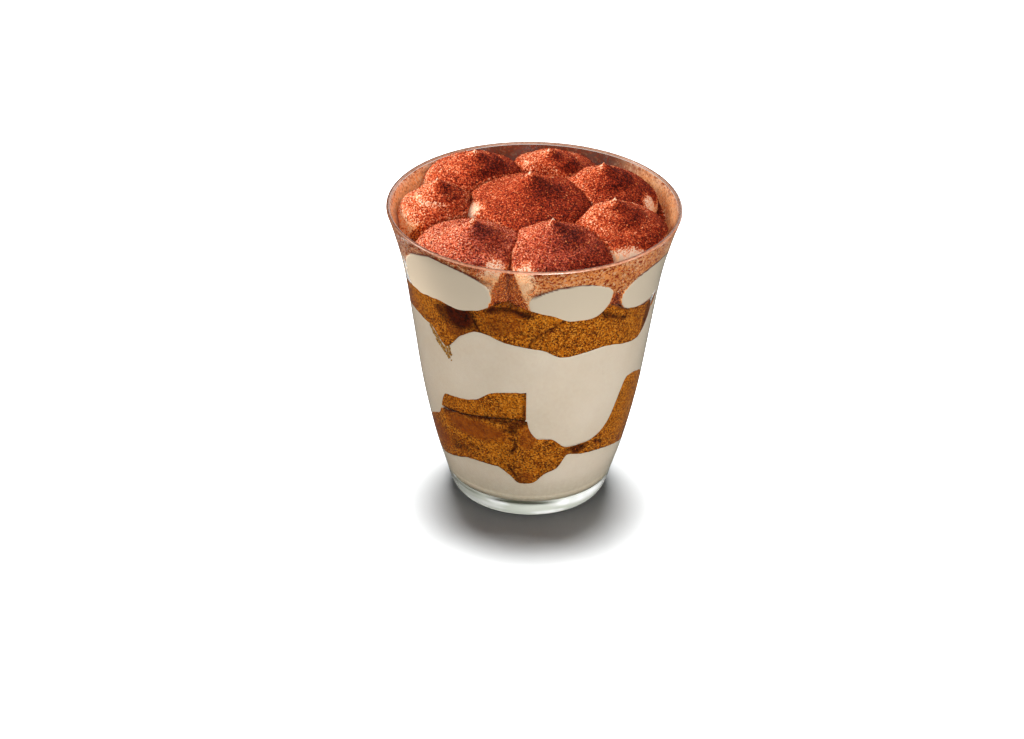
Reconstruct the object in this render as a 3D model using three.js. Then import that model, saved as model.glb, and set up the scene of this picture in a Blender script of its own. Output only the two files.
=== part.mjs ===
// A tiramisu in its clear tumbler: soaked sponge fingers and plain cream in layers, with eight piped
// dollops of cream on top. Millimetres, +Z up, the origin at the middle of the tumbler's foot.
// Angles go round the tumbler in degrees: 0 is the front (-Y), and they grow towards the right (+X).
import * as THREE from "three";

// ---- Tumbler ----
const RIM_RADIUS = 45;
const CUP_HEIGHT = 96.6;
const FOOT_RADIUS = 22.3;
const FOOT_CORNER_RADIUS = 24.5;
const WALL = 1.2;
const BASE = 5.2;
const INNER_CORNER_WIDTH = 4;
const INNER_CORNER_HEIGHT = 3.3;
const CUP_SEGMENTS = 54;
const HEEL_STEPS = 4;
// Heights at which the wall's facets meet, and shares of the inner corner's drop.
const WALL_STATIONS = [15, 25, 38, 52, 66, 78, 88];
const CORNER_DROPS = [0, 0.5, 0.87, 1];
// Turns of the facets round the lip.
const LIP_TURNS = [45, 90, 135];
// [height, outer radius]: a tapering foot, a straighter middle and a flared rim.
const OUTLINE = [
  [6.8, 25.9],
  [19.3, 29.7],
  [38.7, 33.9],
  [58, 36.8],
  [77.3, 39.8],
  [89.9, 43],
  [CUP_HEIGHT - WALL / 2, RIM_RADIUS],
];

// ---- Layers ----
// Clearance between pieces that touch in the real thing.
const GAP = 0.35;
// Degrees between the columns at which all layers bend.
const COLUMN_STEP = 5;
// Shares of the radius at which a layer's surfaces bend, from the wall inwards. The fingers end at
// the last one.
const SPONGE_CORE = 0.3;
const SHARES = [1, 0.8, 0.55, SPONGE_CORE];
// How strongly a surface keeps its height at the wall on the way in: 0 is a straight slope.
const EDGE_REACH = 0.35;
const CREAM_WALL_STEPS = 4;
const SPONGE_WALL_STEPS = 2;
// A finger's round end, as a length, and what is left of its thickness there and at its inner end.
const END_ROUNDING = 4;
const THINNEST_END = 0.3;
const INNER_END_SHARE = 0.6;
const END_COLUMN = 2;
// Heights of the layers' surfaces at the tumbler's axis.
const LOWER_FLOOR_MIDDLE = 18;
const LOWER_ROOF_MIDDLE = 36;
const UPPER_FLOOR_MIDDLE = 64;
const UPPER_ROOF_MIDDLE = 78.5;
// [angle, height] at the wall: the underside of the lower sponge layer.
const LOWER_FLOOR = [
  [-150, 19],
  [-115, 17],
  [-70, 15],
  [-50, 18],
  [-35, 20],
  [-20, 20],
  [-12, 17],
  [-5, 13.5],
  [2, 14],
  [10, 18],
  [17, 20],
  [23, 25],
  [32, 24],
  [50, 22.5],
  [75, 19],
  [100, 15],
  [135, 18],
  [170, 17],
];
// The top of the lower sponge layer, with the short finger that lies on it.
const SLAB_END = -2;
const LOBE_START = -0.5;
const LOWER_ROOF = [
  [-150, 34],
  [-120, 27],
  [-90, 24],
  [-70, 30],
  [-60, 33],
  [-50, 42.5],
  [-40, 43.5],
  [-30, 45],
  [-20, 49],
  [-12, 50.3],
  [SLAB_END, 50.8],
  [LOBE_START, 37],
  [5, 33],
  [12, 32.5],
  [22, 28.5],
  [35, 29],
  [42, 31],
  [47, 34],
  [58, 48.5],
  [70, 47],
  [95, 38],
  [130, 32],
  [165, 36],
];
// The seam under the short finger.
const SEAM = [
  [-60, 35.5],
  [-45, 37],
  [-25, 39],
  [-10, 40],
  [5, 40],
];
// The underside and the top of the upper sponge layer.
const UPPER_FLOOR = [
  [-160, 60],
  [-120, 62],
  [-90, 64],
  [-70, 66.5],
  [-55, 66],
  [-45, 61],
  [-35, 67],
  [-25, 70.5],
  [-10, 68],
  [5, 66],
  [15, 63],
  [35, 64],
  [60, 61],
  [72, 65],
  [95, 62],
  [125, 60],
  [165, 63],
];
const UPPER_ROOF = [
  [-150, 78],
  [-90, 75],
  [-60, 76.5],
  [-45, 78],
  [-35, 77.5],
  [-25, 79],
  [-13, 82.5],
  [-3, 81.5],
  [8, 79.5],
  [20, 76.5],
  [28, 76.5],
  [36, 79],
  [48, 75.5],
  [62, 73.5],
  [95, 75],
  [130, 77],
  [165, 79],
];
// Each sponge finger's two ends, as angles, in its layer.
const LOWER_FINGERS = {
  sponge_lower_left: [-124, -10.5],
  sponge_lower_front: [-9, 23],
  sponge_lower_right: [24.5, 112],
  sponge_lower_back: [113.5, 234.5],
};
const SHORT_FINGER = [-56, SLAB_END];
const UPPER_FINGERS = {
  sponge_upper_left: [-128, -28],
  sponge_upper_front: [-26.5, 14],
  sponge_upper_right: [15.5, 70],
  sponge_upper_back_right: [71.5, 148],
  sponge_upper_back_left: [149.5, 230.5],
};

// ---- Dollops ----
const FULLEST_HEIGHT = 85;
const DOME_POWER = 3.1;
// A kiss stands a little above its dome's top, where it is this wide, and narrows to its tip.
const KISS_RISE = 1.25;
const KISS_FOOT_RADIUS = 5.5;
const KISS_POWER = 1.2;
const DOLLOP_WALL_GAP = 0.75;
const DOLLOP_SEGMENTS = 22;
// Turns from the fullest ring to the top, and shares of the climb from there to the tip, of the rings.
const DOME_TURNS = [0, 22, 40, 55, 67];
const KISS_CLIMBS = [0, 0.25, 0.5, 0.75];
// A dollop's seat on the sponge: its width against the fullest ring, the ring above it, its
// clearance, and how far round and out it looks for the highest sponge.
const SEAT_WIDTH = 0.85;
const LOW_RING_WIDTH = 0.97;
const SEAT_GAP = 0.5;
const SEAT_REACH = 5;
const SEAT_SHARE = 0.12;
// foot: the angle and distance from the axis of its middle where it is fullest. dome: how high its dome
// rises above that. tip: the angle and distance from the axis of its tip, with the tip's height.
const DOLLOPS = {
  dollop_front: { foot: [17, 24], radius: 18.9, dome: 13, tip: [13.6, 23.7, 104] },
  dollop_front_right: { foot: [66.4, 25.9], radius: 18, dome: 13.2, tip: [71.3, 25.5, 104] },
  dollop_back_right: { foot: [122.2, 24.8], radius: 17.5, dome: 13.4, tip: [127.2, 26.4, 104] },
  dollop_back: { foot: [167, 29.5], radius: 16.7, dome: 13.6, tip: [170.7, 25.5, 104] },
  dollop_back_left: { foot: [216.8, 29.8], radius: 17.4, dome: 13.9, tip: [219.6, 29.3, 104] },
  dollop_left: { foot: [262.3, 27.3], radius: 14.6, dome: 12.4, tip: [264.3, 29.8, 104] },
  dollop_front_left: { foot: [317.5, 25.8], radius: 19.4, dome: 11.8, tip: [323.2, 30.2, 104] },
  dollop_middle: { foot: [195.7, 1.9], radius: 23, dome: 13.9, tip: [192.8, 7, 104.8] },
};

// ---- Helpers ----
const radians = THREE.MathUtils.degToRad;

// A smooth curve through knots of [x, y] that never swings past them. With a period, it goes round.
function smoothCurve(knots, period = 0) {
  const shifted = (turns) => knots.map(([x, y]) => [x + turns * period, y]);
  const all = period ? [...shifted(-1), ...knots, ...shifted(1)] : knots;
  const rise = (i) => (all[i + 1][1] - all[i][1]) / (all[i + 1][0] - all[i][0]);
  const slopes = all.map((knot, i) => {
    if (i === 0 || i === all.length - 1) return rise(Math.min(i, all.length - 2));
    const before = rise(i - 1);
    const after = rise(i);
    return before * after > 0 ? (2 * before * after) / (before + after) : 0;
  });
  return (x) => {
    let i = 0;
    while (i < all.length - 2 && x > all[i + 1][0]) i++;
    const width = all[i + 1][0] - all[i][0];
    const t = THREE.MathUtils.clamp((x - all[i][0]) / width, 0, 1);
    const ease = t * t * (3 - 2 * t);
    const leave = t * (1 - t) * (1 - t) * slopes[i] * width;
    const arrive = t * t * (t - 1) * slopes[i + 1] * width;
    return all[i][1] * (1 - ease) + all[i + 1][1] * ease + leave + arrive;
  };
}

// A point at an angle round the tumbler, a distance from its axis and a height.
function polar(angle, reach, height) {
  const turn = radians(angle);
  return new THREE.Vector3(reach * Math.sin(turn), -reach * Math.cos(turn), height);
}

// The same as seen from above.
function planPoint(angle, reach) {
  const { x, y } = polar(angle, reach, 0);
  return new THREE.Vector2(x, y);
}

// Angle in degrees and distance from the axis of a point.
function anglesOf(x, y) {
  return [THREE.MathUtils.radToDeg(Math.atan2(x, -y)), Math.hypot(x, y)];
}

const outerRadius = smoothCurve(OUTLINE);
const cornerTop = BASE + INNER_CORNER_HEIGHT;

// Radius of the tumbler's inside at a height, with the rounded corner above its floor.
function innerRadius(height) {
  if (height >= cornerTop) return outerRadius(height) - WALL;
  const drop = Math.min((cornerTop - height) / INNER_CORNER_HEIGHT, 1);
  const corner = outerRadius(cornerTop) - WALL;
  return corner - INNER_CORNER_WIDTH * (1 - Math.sqrt(1 - drop * drop));
}

const fillRadius = (height) => innerRadius(height) - GAP;

// Closed geometry from points and triangles, with its faces pointing out.
function closedGeometry(points, triangles) {
  let volume = 0;
  for (const [a, b, c] of triangles) {
    volume += points[a].dot(new THREE.Vector3().crossVectors(points[b], points[c]));
  }
  const facing = volume > 0 ? triangles : triangles.map(([a, b, c]) => [a, c, b]);
  const geometry = new THREE.BufferGeometry().setFromPoints(points);
  geometry.setIndex(facing.flat());
  geometry.computeVertexNormals();
  return geometry;
}

// Skins neighbouring loops of points. A quad's diagonal always runs from the outer point of the
// earlier loop, so that two facing surfaces on the same columns have the same facets.
function skin(loops, loopClosed, roundClosed) {
  const count = loops[0].length;
  const points = loops.flat();
  const at = (i, k) => (i % loops.length) * count + (k % count);
  const fromAxis = (i) => Math.hypot(points[i].x, points[i].y);
  const triangles = [];
  for (let i = 0; i < loops.length - (roundClosed ? 0 : 1); i++) {
    for (let k = 0; k < count - (loopClosed ? 0 : 1); k++) {
      const [a, b, c, d] = [at(i, k), at(i, k + 1), at(i + 1, k + 1), at(i + 1, k)];
      const aOuter = fromAxis(a) > fromAxis(b);
      triangles.push(aOuter ? [a, b, c] : [a, b, d]);
      triangles.push(aOuter ? [a, c, d] : [b, c, d]);
    }
  }
  return { points, triangles };
}

// Triangles that close the loop of points from index first on, seen as distance from axis and height.
function endCap(points, first, count, turned) {
  const flat = points
    .slice(first, first + count)
    .map((p) => new THREE.Vector2(Math.hypot(p.x, p.y), p.z));
  const turn = Math.sign(THREE.ShapeUtils.area(flat));
  return THREE.ShapeUtils.triangulateShape(flat, []).map(([a, b, c]) => {
    const same = Math.sign(THREE.ShapeUtils.area([flat[a], flat[b], flat[c]])) === turn;
    return same === turned ? [first + a, first + c, first + b] : [first + a, first + b, first + c];
  });
}

// ---- Layer surfaces ----
const columns = [SLAB_END, LOBE_START];
for (let angle = -180; angle < 180; angle += COLUMN_STEP) columns.push(angle);
columns.sort((a, b) => a - b);

// A curve round the wall as straight stretches between the columns that all layers share.
function onColumns(knots) {
  const curve = smoothCurve(knots, 360);
  const samples = columns.map((angle) => [angle, curve(angle)]);
  samples.push([columns[0] + 360, curve(columns[0])]);
  return (angle) => {
    const home = THREE.MathUtils.euclideanModulo(angle + 180, 360) - 180;
    const next = samples.findIndex(([x], i) => i > 0 && x >= home);
    const [[x0, y0], [x1, y1]] = [samples[next - 1], samples[next]];
    return THREE.MathUtils.mapLinear(home, x0, x1, y0, y1);
  };
}

// A surface that follows a curve at the wall and levels out towards a height at the axis.
function surface(knots, middle) {
  const edge = onColumns(knots);
  const follow = (share) => share * (1 + EDGE_REACH * (1 - share));
  return (angle, share) => middle + (edge(angle) - middle) * follow(share);
}

const lowerFloor = surface(LOWER_FLOOR, LOWER_FLOOR_MIDDLE);
const lowerRoof = surface(LOWER_ROOF, LOWER_ROOF_MIDDLE);
const seam = surface(SEAM, LOWER_ROOF_MIDDLE);
const upperFloor = surface(UPPER_FLOOR, UPPER_FLOOR_MIDDLE);
const upperRoof = surface(UPPER_ROOF, UPPER_ROOF_MIDDLE);
const cupFloor = () => BASE + GAP;
const raised = (face, by) => (angle, share) => face(angle, share) + by;

// One column of a layer: out along its roof, down the wall and back in along its floor.
function columnLoop(angle, floor, roof, wallSteps) {
  const loop = [];
  const place = (share, height) => loop.push(polar(angle, share * fillRadius(height), height));
  for (const share of [...SHARES].reverse()) place(share, roof(angle, share));
  const [top, bottom] = [roof(angle, 1), floor(angle, 1)];
  for (let i = 1; i < wallSteps; i++) place(1, THREE.MathUtils.lerp(top, bottom, i / wallSteps));
  for (const share of SHARES) place(share, floor(angle, share));
  return loop;
}

// Cream that fills the whole round between two surfaces.
function creamLayer(floor, roof) {
  const loops = columns.map((angle) => {
    const loop = columnLoop(angle, floor, roof, CREAM_WALL_STEPS);
    loop.unshift(polar(0, 0, roof(0, 0)));
    loop.push(polar(0, 0, floor(0, 0)));
    return loop;
  });
  const { points, triangles } = skin(loops, false, true);
  // All columns share one point on the axis at the top and one at the bottom.
  const count = loops[0].length;
  const shared = (i) => (i % count === 0 ? 0 : i % count === count - 1 ? count - 1 : i);
  const welded = triangles.map((triangle) => triangle.map(shared));
  return closedGeometry(points, welded.filter(([a, b, c]) => a !== b && b !== c && c !== a));
}

// Share of its full thickness that a finger has at a distance from its round end.
function endShare(distance) {
  const inward = THREE.MathUtils.clamp(1 - distance / END_ROUNDING, 0, 1);
  return THREE.MathUtils.lerp(THINNEST_END, 1, Math.sqrt(1 - inward * inward));
}

// A sponge finger between two surfaces and two ends, from the wall in to the core.
function fingerGeometry([from, to], floor, roof, squareEnd = false) {
  const wallRadius = fillRadius(roof((from + to) / 2, 1));
  const between = [...columns, ...columns.map((angle) => angle + 360)];
  const inside = between.filter((angle) => angle > from + END_COLUMN && angle < to - END_COLUMN);
  const angles = [from, from + END_COLUMN, ...inside, to - END_COLUMN, to];
  const loops = angles.map((angle) => {
    const nearest = squareEnd ? angle - from : Math.min(angle - from, to - angle);
    const full = endShare(radians(nearest) * wallRadius);
    // A face drawn in towards the finger's middle, for its round ends.
    const drawnIn = (face) => (_, share) => {
      const middle = (floor(angle, share) + roof(angle, share)) / 2;
      const left = full * (share === SPONGE_CORE ? INNER_END_SHARE : 1);
      return THREE.MathUtils.lerp(middle, face(angle, share), left);
    };
    return columnLoop(angle, drawnIn(floor), drawnIn(roof), SPONGE_WALL_STEPS);
  });
  const { points, triangles } = skin(loops, true, false);
  const count = loops[0].length;
  triangles.push(...endCap(points, 0, count, true));
  triangles.push(...endCap(points, points.length - count, count, false));
  return closedGeometry(points, triangles);
}

// ---- Tumbler ----
// Half its section, from the axis under the foot, up the outside, over the rim and down the inside.
function cupProfile() {
  const at = (radius, height) => new THREE.Vector2(radius, height);
  const [footTop, footTopRadius] = OUTLINE[0];
  const heel = new THREE.QuadraticBezierCurve(
    at(FOOT_RADIUS, 0),
    at(FOOT_CORNER_RADIUS, 0),
    at(footTopRadius, footTop),
  );
  const lip = WALL / 2;
  const rimFoot = CUP_HEIGHT - lip;
  const stations = [...WALL_STATIONS, rimFoot];
  const profile = [at(0, 0), ...heel.getPoints(HEEL_STEPS)];
  for (const z of stations) profile.push(at(outerRadius(z), z));
  for (const turn of LIP_TURNS) {
    const [across, up] = [lip * Math.cos(radians(turn)), lip * Math.sin(radians(turn))];
    profile.push(at(RIM_RADIUS - lip + across, rimFoot + up));
  }
  for (const z of [...stations].reverse()) profile.push(at(innerRadius(z), z));
  for (const drop of CORNER_DROPS) {
    const z = cornerTop - drop * INNER_CORNER_HEIGHT;
    profile.push(at(innerRadius(z), z));
  }
  profile.push(at(0, BASE));
  return profile;
}

function cupGeometry() {
  const geometry = new THREE.LatheGeometry(cupProfile(), CUP_SEGMENTS);
  geometry.rotateX(Math.PI / 2);
  return geometry;
}

// ---- Dollops ----
// How far a dollop may spread from a point on its own axis, towards a direction at a height: to the
// wall, or to the plane where it meets a neighbour.
function room(own, others, from, direction, height) {
  const along = from.dot(direction);
  const level = THREE.MathUtils.clamp(height, UPPER_ROOF_MIDDLE, CUP_HEIGHT - WALL);
  const wall = innerRadius(level) - DOLLOP_WALL_GAP;
  let free = -along + Math.sqrt(along * along - from.lengthSq() + wall * wall);
  for (const other of others) {
    const apart = other.middle.clone().sub(own.middle);
    const distance = apart.length();
    const facing = direction.dot(apart) / distance;
    if (facing <= 0) continue;
    const meeting = (distance * distance + own.radius ** 2 - other.radius ** 2) / (2 * distance);
    const gone = from.clone().sub(own.middle).dot(apart) / distance;
    free = Math.min(free, (meeting - gone - GAP / 2) / facing);
  }
  return free;
}

// [radius, height] of each ring: a round body on its seat, a low dome and a small pointed kiss. The
// seat's own rings start below the sponge and are lifted onto it.
function dollopRings({ radius, dome, top }) {
  const bulge = (share) => share ** (2 / DOME_POWER);
  const rings = [
    [(radius * SEAT_WIDTH) / 2, 0],
    [radius * SEAT_WIDTH, 0],
    [radius * LOW_RING_WIDTH, (FULLEST_HEIGHT + UPPER_ROOF_MIDDLE) / 2],
  ];
  for (const turn of DOME_TURNS) {
    const across = radius * bulge(Math.cos(radians(turn)));
    rings.push([across, FULLEST_HEIGHT + dome * bulge(Math.sin(radians(turn)))]);
  }
  for (const climb of KISS_CLIMBS) {
    const height = THREE.MathUtils.lerp(FULLEST_HEIGHT + dome + KISS_RISE, top, climb);
    rings.push([KISS_FOOT_RADIUS * (1 - climb) ** KISS_POWER, height]);
  }
  return rings;
}

function dollopGeometry(own, others) {
  const rings = dollopRings(own);
  // A dollop rests on the highest sponge near each point.
  const seat = (x, y) => {
    const [angle, reach] = anglesOf(x, y);
    const share = reach / fillRadius(UPPER_ROOF_MIDDLE);
    const near = [-SEAT_REACH, 0, SEAT_REACH].flatMap((aside) =>
      [0, SEAT_SHARE].map((out) => upperRoof(angle + aside, Math.min(share + out, 1))),
    );
    return Math.max(...near) + SEAT_GAP;
  };
  // Its axis bends from the middle of its body to its tip.
  const axisAt = (height) => {
    const climb = Math.max(height - FULLEST_HEIGHT, 0) / (own.top - FULLEST_HEIGHT);
    return own.middle.clone().lerp(own.point, climb);
  };
  const loops = [];
  for (let i = 0; i < DOLLOP_SEGMENTS; i++) {
    const turn = (2 * Math.PI * i) / DOLLOP_SEGMENTS;
    const direction = new THREE.Vector2(Math.cos(turn), Math.sin(turn));
    const spot = ([reach, height]) => {
      const from = axisAt(height);
      const spread = Math.min(reach, room(own, others, from, direction, height));
      const { x, y } = from.addScaledVector(direction, spread);
      return new THREE.Vector3(x, y, Math.max(height, seat(x, y)));
    };
    loops.push(rings.map(spot));
  }
  const { points, triangles } = skin(loops, false, true);
  const count = loops[0].length;
  const { x, y } = own.middle;
  const under = points.push(new THREE.Vector3(x, y, seat(x, y))) - 1;
  const tip = points.push(new THREE.Vector3(own.point.x, own.point.y, own.top)) - 1;
  for (let i = 0; i < DOLLOP_SEGMENTS; i++) {
    const [here, next] = [i * count, ((i + 1) % DOLLOP_SEGMENTS) * count];
    triangles.push([here, next, under]);
    triangles.push([here + count - 1, tip, next + count - 1]);
  }
  return closedGeometry(points, triangles);
}

// ---- Materials ----
const glass = { color: 0xe6eeea, roughness: 0.05, metalness: 0, transparent: true, opacity: 0.35 };
const cream = { color: 0xd8ccba, roughness: 0.5, metalness: 0 };
const sponge = { color: 0x9a6429, roughness: 0.85, metalness: 0 };
const soakedSponge = { color: 0x7d4118, roughness: 0.7, metalness: 0 };
const cocoa = { color: 0x8e3f28, roughness: 0.9, metalness: 0 };

const group = new THREE.Group();

function add(name, geometry, look) {
  const mesh = new THREE.Mesh(geometry, new THREE.MeshStandardMaterial(look));
  mesh.name = name;
  group.add(mesh);
}

// ---- The whole ----
add("cup", cupGeometry(), glass);
add("cream_bottom", creamLayer(cupFloor, raised(lowerFloor, -GAP)), cream);
add("cream_middle", creamLayer(raised(lowerRoof, GAP), raised(upperFloor, -GAP)), cream);

// The lower fingers stay under the seam where the short finger lies on them.
const underSeam = (angle, share) => Math.min(lowerRoof(angle, share), seam(angle, share) - GAP);
const [slabFrom, slabTo] = SHORT_FINGER;
const lowerTop = (angle, share) => {
  const covered = angle > slabFrom - COLUMN_STEP && angle <= slabTo;
  return covered ? underSeam(angle, share) : lowerRoof(angle, share);
};
for (const [name, ends] of Object.entries(LOWER_FINGERS)) {
  add(name, fingerGeometry(ends, lowerFloor, lowerTop), name.endsWith("left") ? soakedSponge : sponge);
}
add("sponge_lower_short", fingerGeometry(SHORT_FINGER, seam, lowerRoof, true), sponge);
for (const [name, ends] of Object.entries(UPPER_FINGERS)) {
  add(name, fingerGeometry(ends, upperFloor, upperRoof), sponge);
}

const bodies = Object.entries(DOLLOPS).map(([name, { foot, radius, dome, tip }]) => {
  const [tipAngle, tipReach, top] = tip;
  const point = planPoint(tipAngle, tipReach);
  return { name, radius, dome, top, middle: planPoint(...foot), point };
});
for (const body of bodies) {
  add(body.name, dollopGeometry(body, bodies.filter((other) => other !== body)), cocoa);
}

export default group;
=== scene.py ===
import math

import bpy
import numpy as np
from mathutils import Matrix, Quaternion, Vector


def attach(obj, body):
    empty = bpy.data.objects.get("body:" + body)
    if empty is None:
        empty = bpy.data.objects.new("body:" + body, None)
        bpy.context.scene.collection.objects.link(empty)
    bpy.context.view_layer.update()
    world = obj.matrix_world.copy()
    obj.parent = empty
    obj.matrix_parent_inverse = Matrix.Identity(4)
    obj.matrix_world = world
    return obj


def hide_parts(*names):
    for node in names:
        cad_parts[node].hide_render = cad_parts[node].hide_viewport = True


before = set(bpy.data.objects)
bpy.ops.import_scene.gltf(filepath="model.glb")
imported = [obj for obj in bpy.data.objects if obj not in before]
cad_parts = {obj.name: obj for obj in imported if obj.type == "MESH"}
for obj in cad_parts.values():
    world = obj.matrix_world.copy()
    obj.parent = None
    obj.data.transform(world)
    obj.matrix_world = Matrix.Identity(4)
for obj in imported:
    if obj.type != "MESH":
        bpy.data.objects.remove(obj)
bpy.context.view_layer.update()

MM = 0.001

# ---- Tumbler ----
RIM_RADIUS = 45.0
CUP_HEIGHT = 96.6
FOOT_RADIUS = 22.3
FOOT_CORNER_RADIUS = 24.5
WALL = 1.2
BASE = 5.2
INNER_CORNER_WIDTH = 4.0
INNER_CORNER_HEIGHT = 3.3
CORNER_TOP = BASE + INNER_CORNER_HEIGHT
# [height, outer radius]
OUTLINE = [
    [6.8, 25.9], [19.3, 29.7], [38.7, 33.9], [58.0, 36.8], [77.3, 39.8], [89.9, 43.0],
    [CUP_HEIGHT - WALL / 2, RIM_RADIUS],
]

# ---- Layers ----
# A finger's round end: its length, and the share of the thickness that its tip still has.
END_ROUNDING = 4.0
THINNEST_END = 0.3
# Fingers start at this share of the tumbler's inner radius.
SPONGE_CORE = 0.3
# How much a layer's curve at the wall still shows further in.
EDGE_REACH = 0.35
# Heights of the layers' undersides and tops at the axis.
LOWER_FLOOR_MIDDLE = 18.0
LOWER_ROOF_MIDDLE = 36.0
UPPER_FLOOR_MIDDLE = 64.0
UPPER_ROOF_MIDDLE = 78.5
# The angles of the step where the short finger ends and the cream's lobe starts.
SLAB_END = -2.0
LOBE_START = -0.5
# [angle, height] at the wall, of each layer's underside and top.
LOWER_FLOOR = [
    [-150, 19], [-115, 17], [-70, 15], [-50, 18], [-35, 20], [-20, 20], [-12, 17], [-5, 13.5], [2, 14],
    [10, 18], [17, 20], [23, 25], [32, 24], [50, 22.5], [75, 19], [100, 15], [135, 18], [170, 17],
]
LOWER_ROOF = [
    [-150, 34], [-120, 27], [-90, 24], [-70, 30], [-60, 33], [-50, 42.5], [-40, 43.5], [-30, 45],
    [-20, 49], [-12, 50.3], [SLAB_END, 50.8], [LOBE_START, 37], [5, 33], [12, 32.5], [22, 28.5],
    [35, 29], [42, 31], [47, 34], [58, 48.5], [70, 47], [95, 38], [130, 32], [165, 36],
]
SEAM = [[-60, 35.5], [-45, 37], [-25, 39], [-10, 40], [5, 40]]
UPPER_FLOOR = [
    [-160, 60], [-120, 62], [-90, 64], [-70, 66.5], [-55, 66], [-45, 61], [-35, 67], [-25, 70.5],
    [-10, 68], [5, 66], [15, 63], [35, 64], [60, 61], [72, 65], [95, 62], [125, 60], [165, 63],
]
UPPER_ROOF = [
    [-150, 78], [-90, 75], [-60, 76.5], [-45, 78], [-35, 77.5], [-25, 79], [-13, 82.5], [-3, 81.5],
    [8, 79.5], [20, 76.5], [28, 76.5], [36, 79], [48, 75.5], [62, 73.5], [95, 75], [130, 77], [165, 79],
]

# How far into the tumbler's wall a filling reaches, so that no air shows. Sponge lies before cream.
CREAM_BITE = 0.10
SPONGE_BITE = 0.32
# How far cream runs on behind the sponge's outline.
OVERLAP = 0.6
# Degrees between two columns of points.
COLUMN_STEP = 0.75
# How far a finger runs on behind its neighbour, in degrees.
RUN_ON = 6.5
ROUND, HIDDEN, CUT = "round", "hidden behind its neighbour", "cut straight"
# Each finger: the angles of its two ends, what they are like, and how much deeper than the others it
# presses into the wall.
FINGERS = {
    "sponge_lower_left": (-124, -10.5, HIDDEN, HIDDEN, 0.0),
    "sponge_lower_front": (-9, 23, ROUND, ROUND, 0.08),
    "sponge_lower_right": (24.5, 112, HIDDEN, HIDDEN, 0.0),
    "sponge_lower_back": (113.5, 234.5, ROUND, ROUND, 0.08),
    "sponge_lower_short": (-56, -2, ROUND, CUT, 0.04),
    "sponge_upper_left": (-128, -28, ROUND, HIDDEN, 0.0),
    "sponge_upper_front": (-26.5, 14, ROUND, ROUND, 0.08),
    "sponge_upper_right": (15.5, 70, HIDDEN, ROUND, 0.0),
    "sponge_upper_back_right": (71.5, 148, ROUND, ROUND, 0.04),
    "sponge_upper_back_left": (149.5, 230.5, HIDDEN, HIDDEN, 0.0),
}
LOWER_FINGERS = [name for name in FINGERS if name.startswith("sponge_lower")]
UPPER_FINGERS = [name for name in FINGERS if name.startswith("sponge_upper")]

# ---- Dollops ----
# Where they are widest, and how full their domes are, where 2 would be an ellipse.
FULLEST_HEIGHT = 85.0
DOME_POWER = 3.1
# A kiss stands a little above its dome's top, where it is this wide, and narrows to its tip.
KISS_RISE = 1.25
KISS_FOOT_RADIUS = 6.8
KISS_POWER = 1.65
# Shares of its radius that a dollop has where it sits and above that.
SEAT_WIDTH = 0.85
LOW_RING_WIDTH = 0.97
# foot: the angle and distance from the axis of its middle where it is fullest. dome: how high its dome
# rises above that. tip: the angle and distance from the axis of its tip, with the tip's height.
DOLLOPS = {
    "dollop_front": dict(foot=[17, 24], radius=18.9, dome=13, tip=[13.6, 23.7, 104]),
    "dollop_front_right": dict(foot=[66.4, 25.9], radius=18, dome=13.2, tip=[71.3, 25.5, 104]),
    "dollop_back_right": dict(foot=[122.2, 24.8], radius=17.5, dome=13.4, tip=[127.2, 26.4, 104]),
    "dollop_back": dict(foot=[167, 29.5], radius=16.7, dome=13.6, tip=[170.7, 25.5, 104]),
    "dollop_back_left": dict(foot=[216.8, 29.8], radius=17.4, dome=13.9, tip=[219.6, 29.3, 104]),
    "dollop_left": dict(foot=[262.3, 27.3], radius=14.6, dome=12.4, tip=[264.3, 29.8, 104]),
    "dollop_front_left": dict(foot=[317.5, 25.8], radius=19.4, dome=11.8, tip=[323.2, 30.2, 104]),
    "dollop_middle": dict(foot=[195.7, 1.9], radius=23, dome=13.9, tip=[192.8, 7, 104.8]),
}
# Where a dollop is pressed flat on the glass: an oval of (angle, height, half width, half height), how
# steeply it sinks to its left, and how much wider its lower half is to its left and to its right.
OVALS = {
    "dollop_front": (18, 83.5, 18.5, 6.5, 0, 1, 1),
    "dollop_front_right": (62.5, 81, 22, 6.8, 0, 1, 1.4),
    "dollop_back_right": (113, 82.5, 28, 7.5, 0, 1.6, 1.6),
    "dollop_back": (167, 84.5, 24, 8.0, 0, 1.6, 1.6),
    "dollop_back_left": (216, 84, 25, 8.0, 0, 1.6, 1.6),
    "dollop_left": (266, 80.5, 23, 6.2, 0, 1.6, 1.6),
    "dollop_front_left": (315, 85.6, 28, 8.4, 0.17, 1.5, 1),
}
# Pale patches on the flanks, seen through the glass: angle, height, their half sizes and strength.
PALE_PLACES = [
    (-16.5, 91, 6.5, 6.5, 0.86), (-3, 90.5, 5.0, 6.5, 0.68), (-100, 91, 12, 4, 0.5),
    (145, 91, 9, 5, 0.5), (-168, 92, 8, 4, 0.4),
]
# Places that the cocoa missed: bearing from the dollop's own middle, height, and how far it reaches.
BARE_PLACES = {
    "dollop_middle": [(-75, 96, 5.5)],
    "dollop_front_right": [(0, 91.5, 4.5), (14, 92, 5.5), (27, 91.5, 4.5)],
    "dollop_back_right": [(70, 93, 4.5)],
    "dollop_front": [(-70, 93.5, 4.5)],
    "dollop_front_left": [(62, 91, 4.0)],
}

# ---- Camera ----
CAMERA_DISTANCE = 1000.5
CAMERA_ELEVATION = 29.036
CAMERA_ROLL = 1.214
CAMERA_TARGET_HEIGHT = 45.0
CAMERA_LENS = 113.05
CAMERA_SHIFT = (-0.0188, -0.0161)


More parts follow.
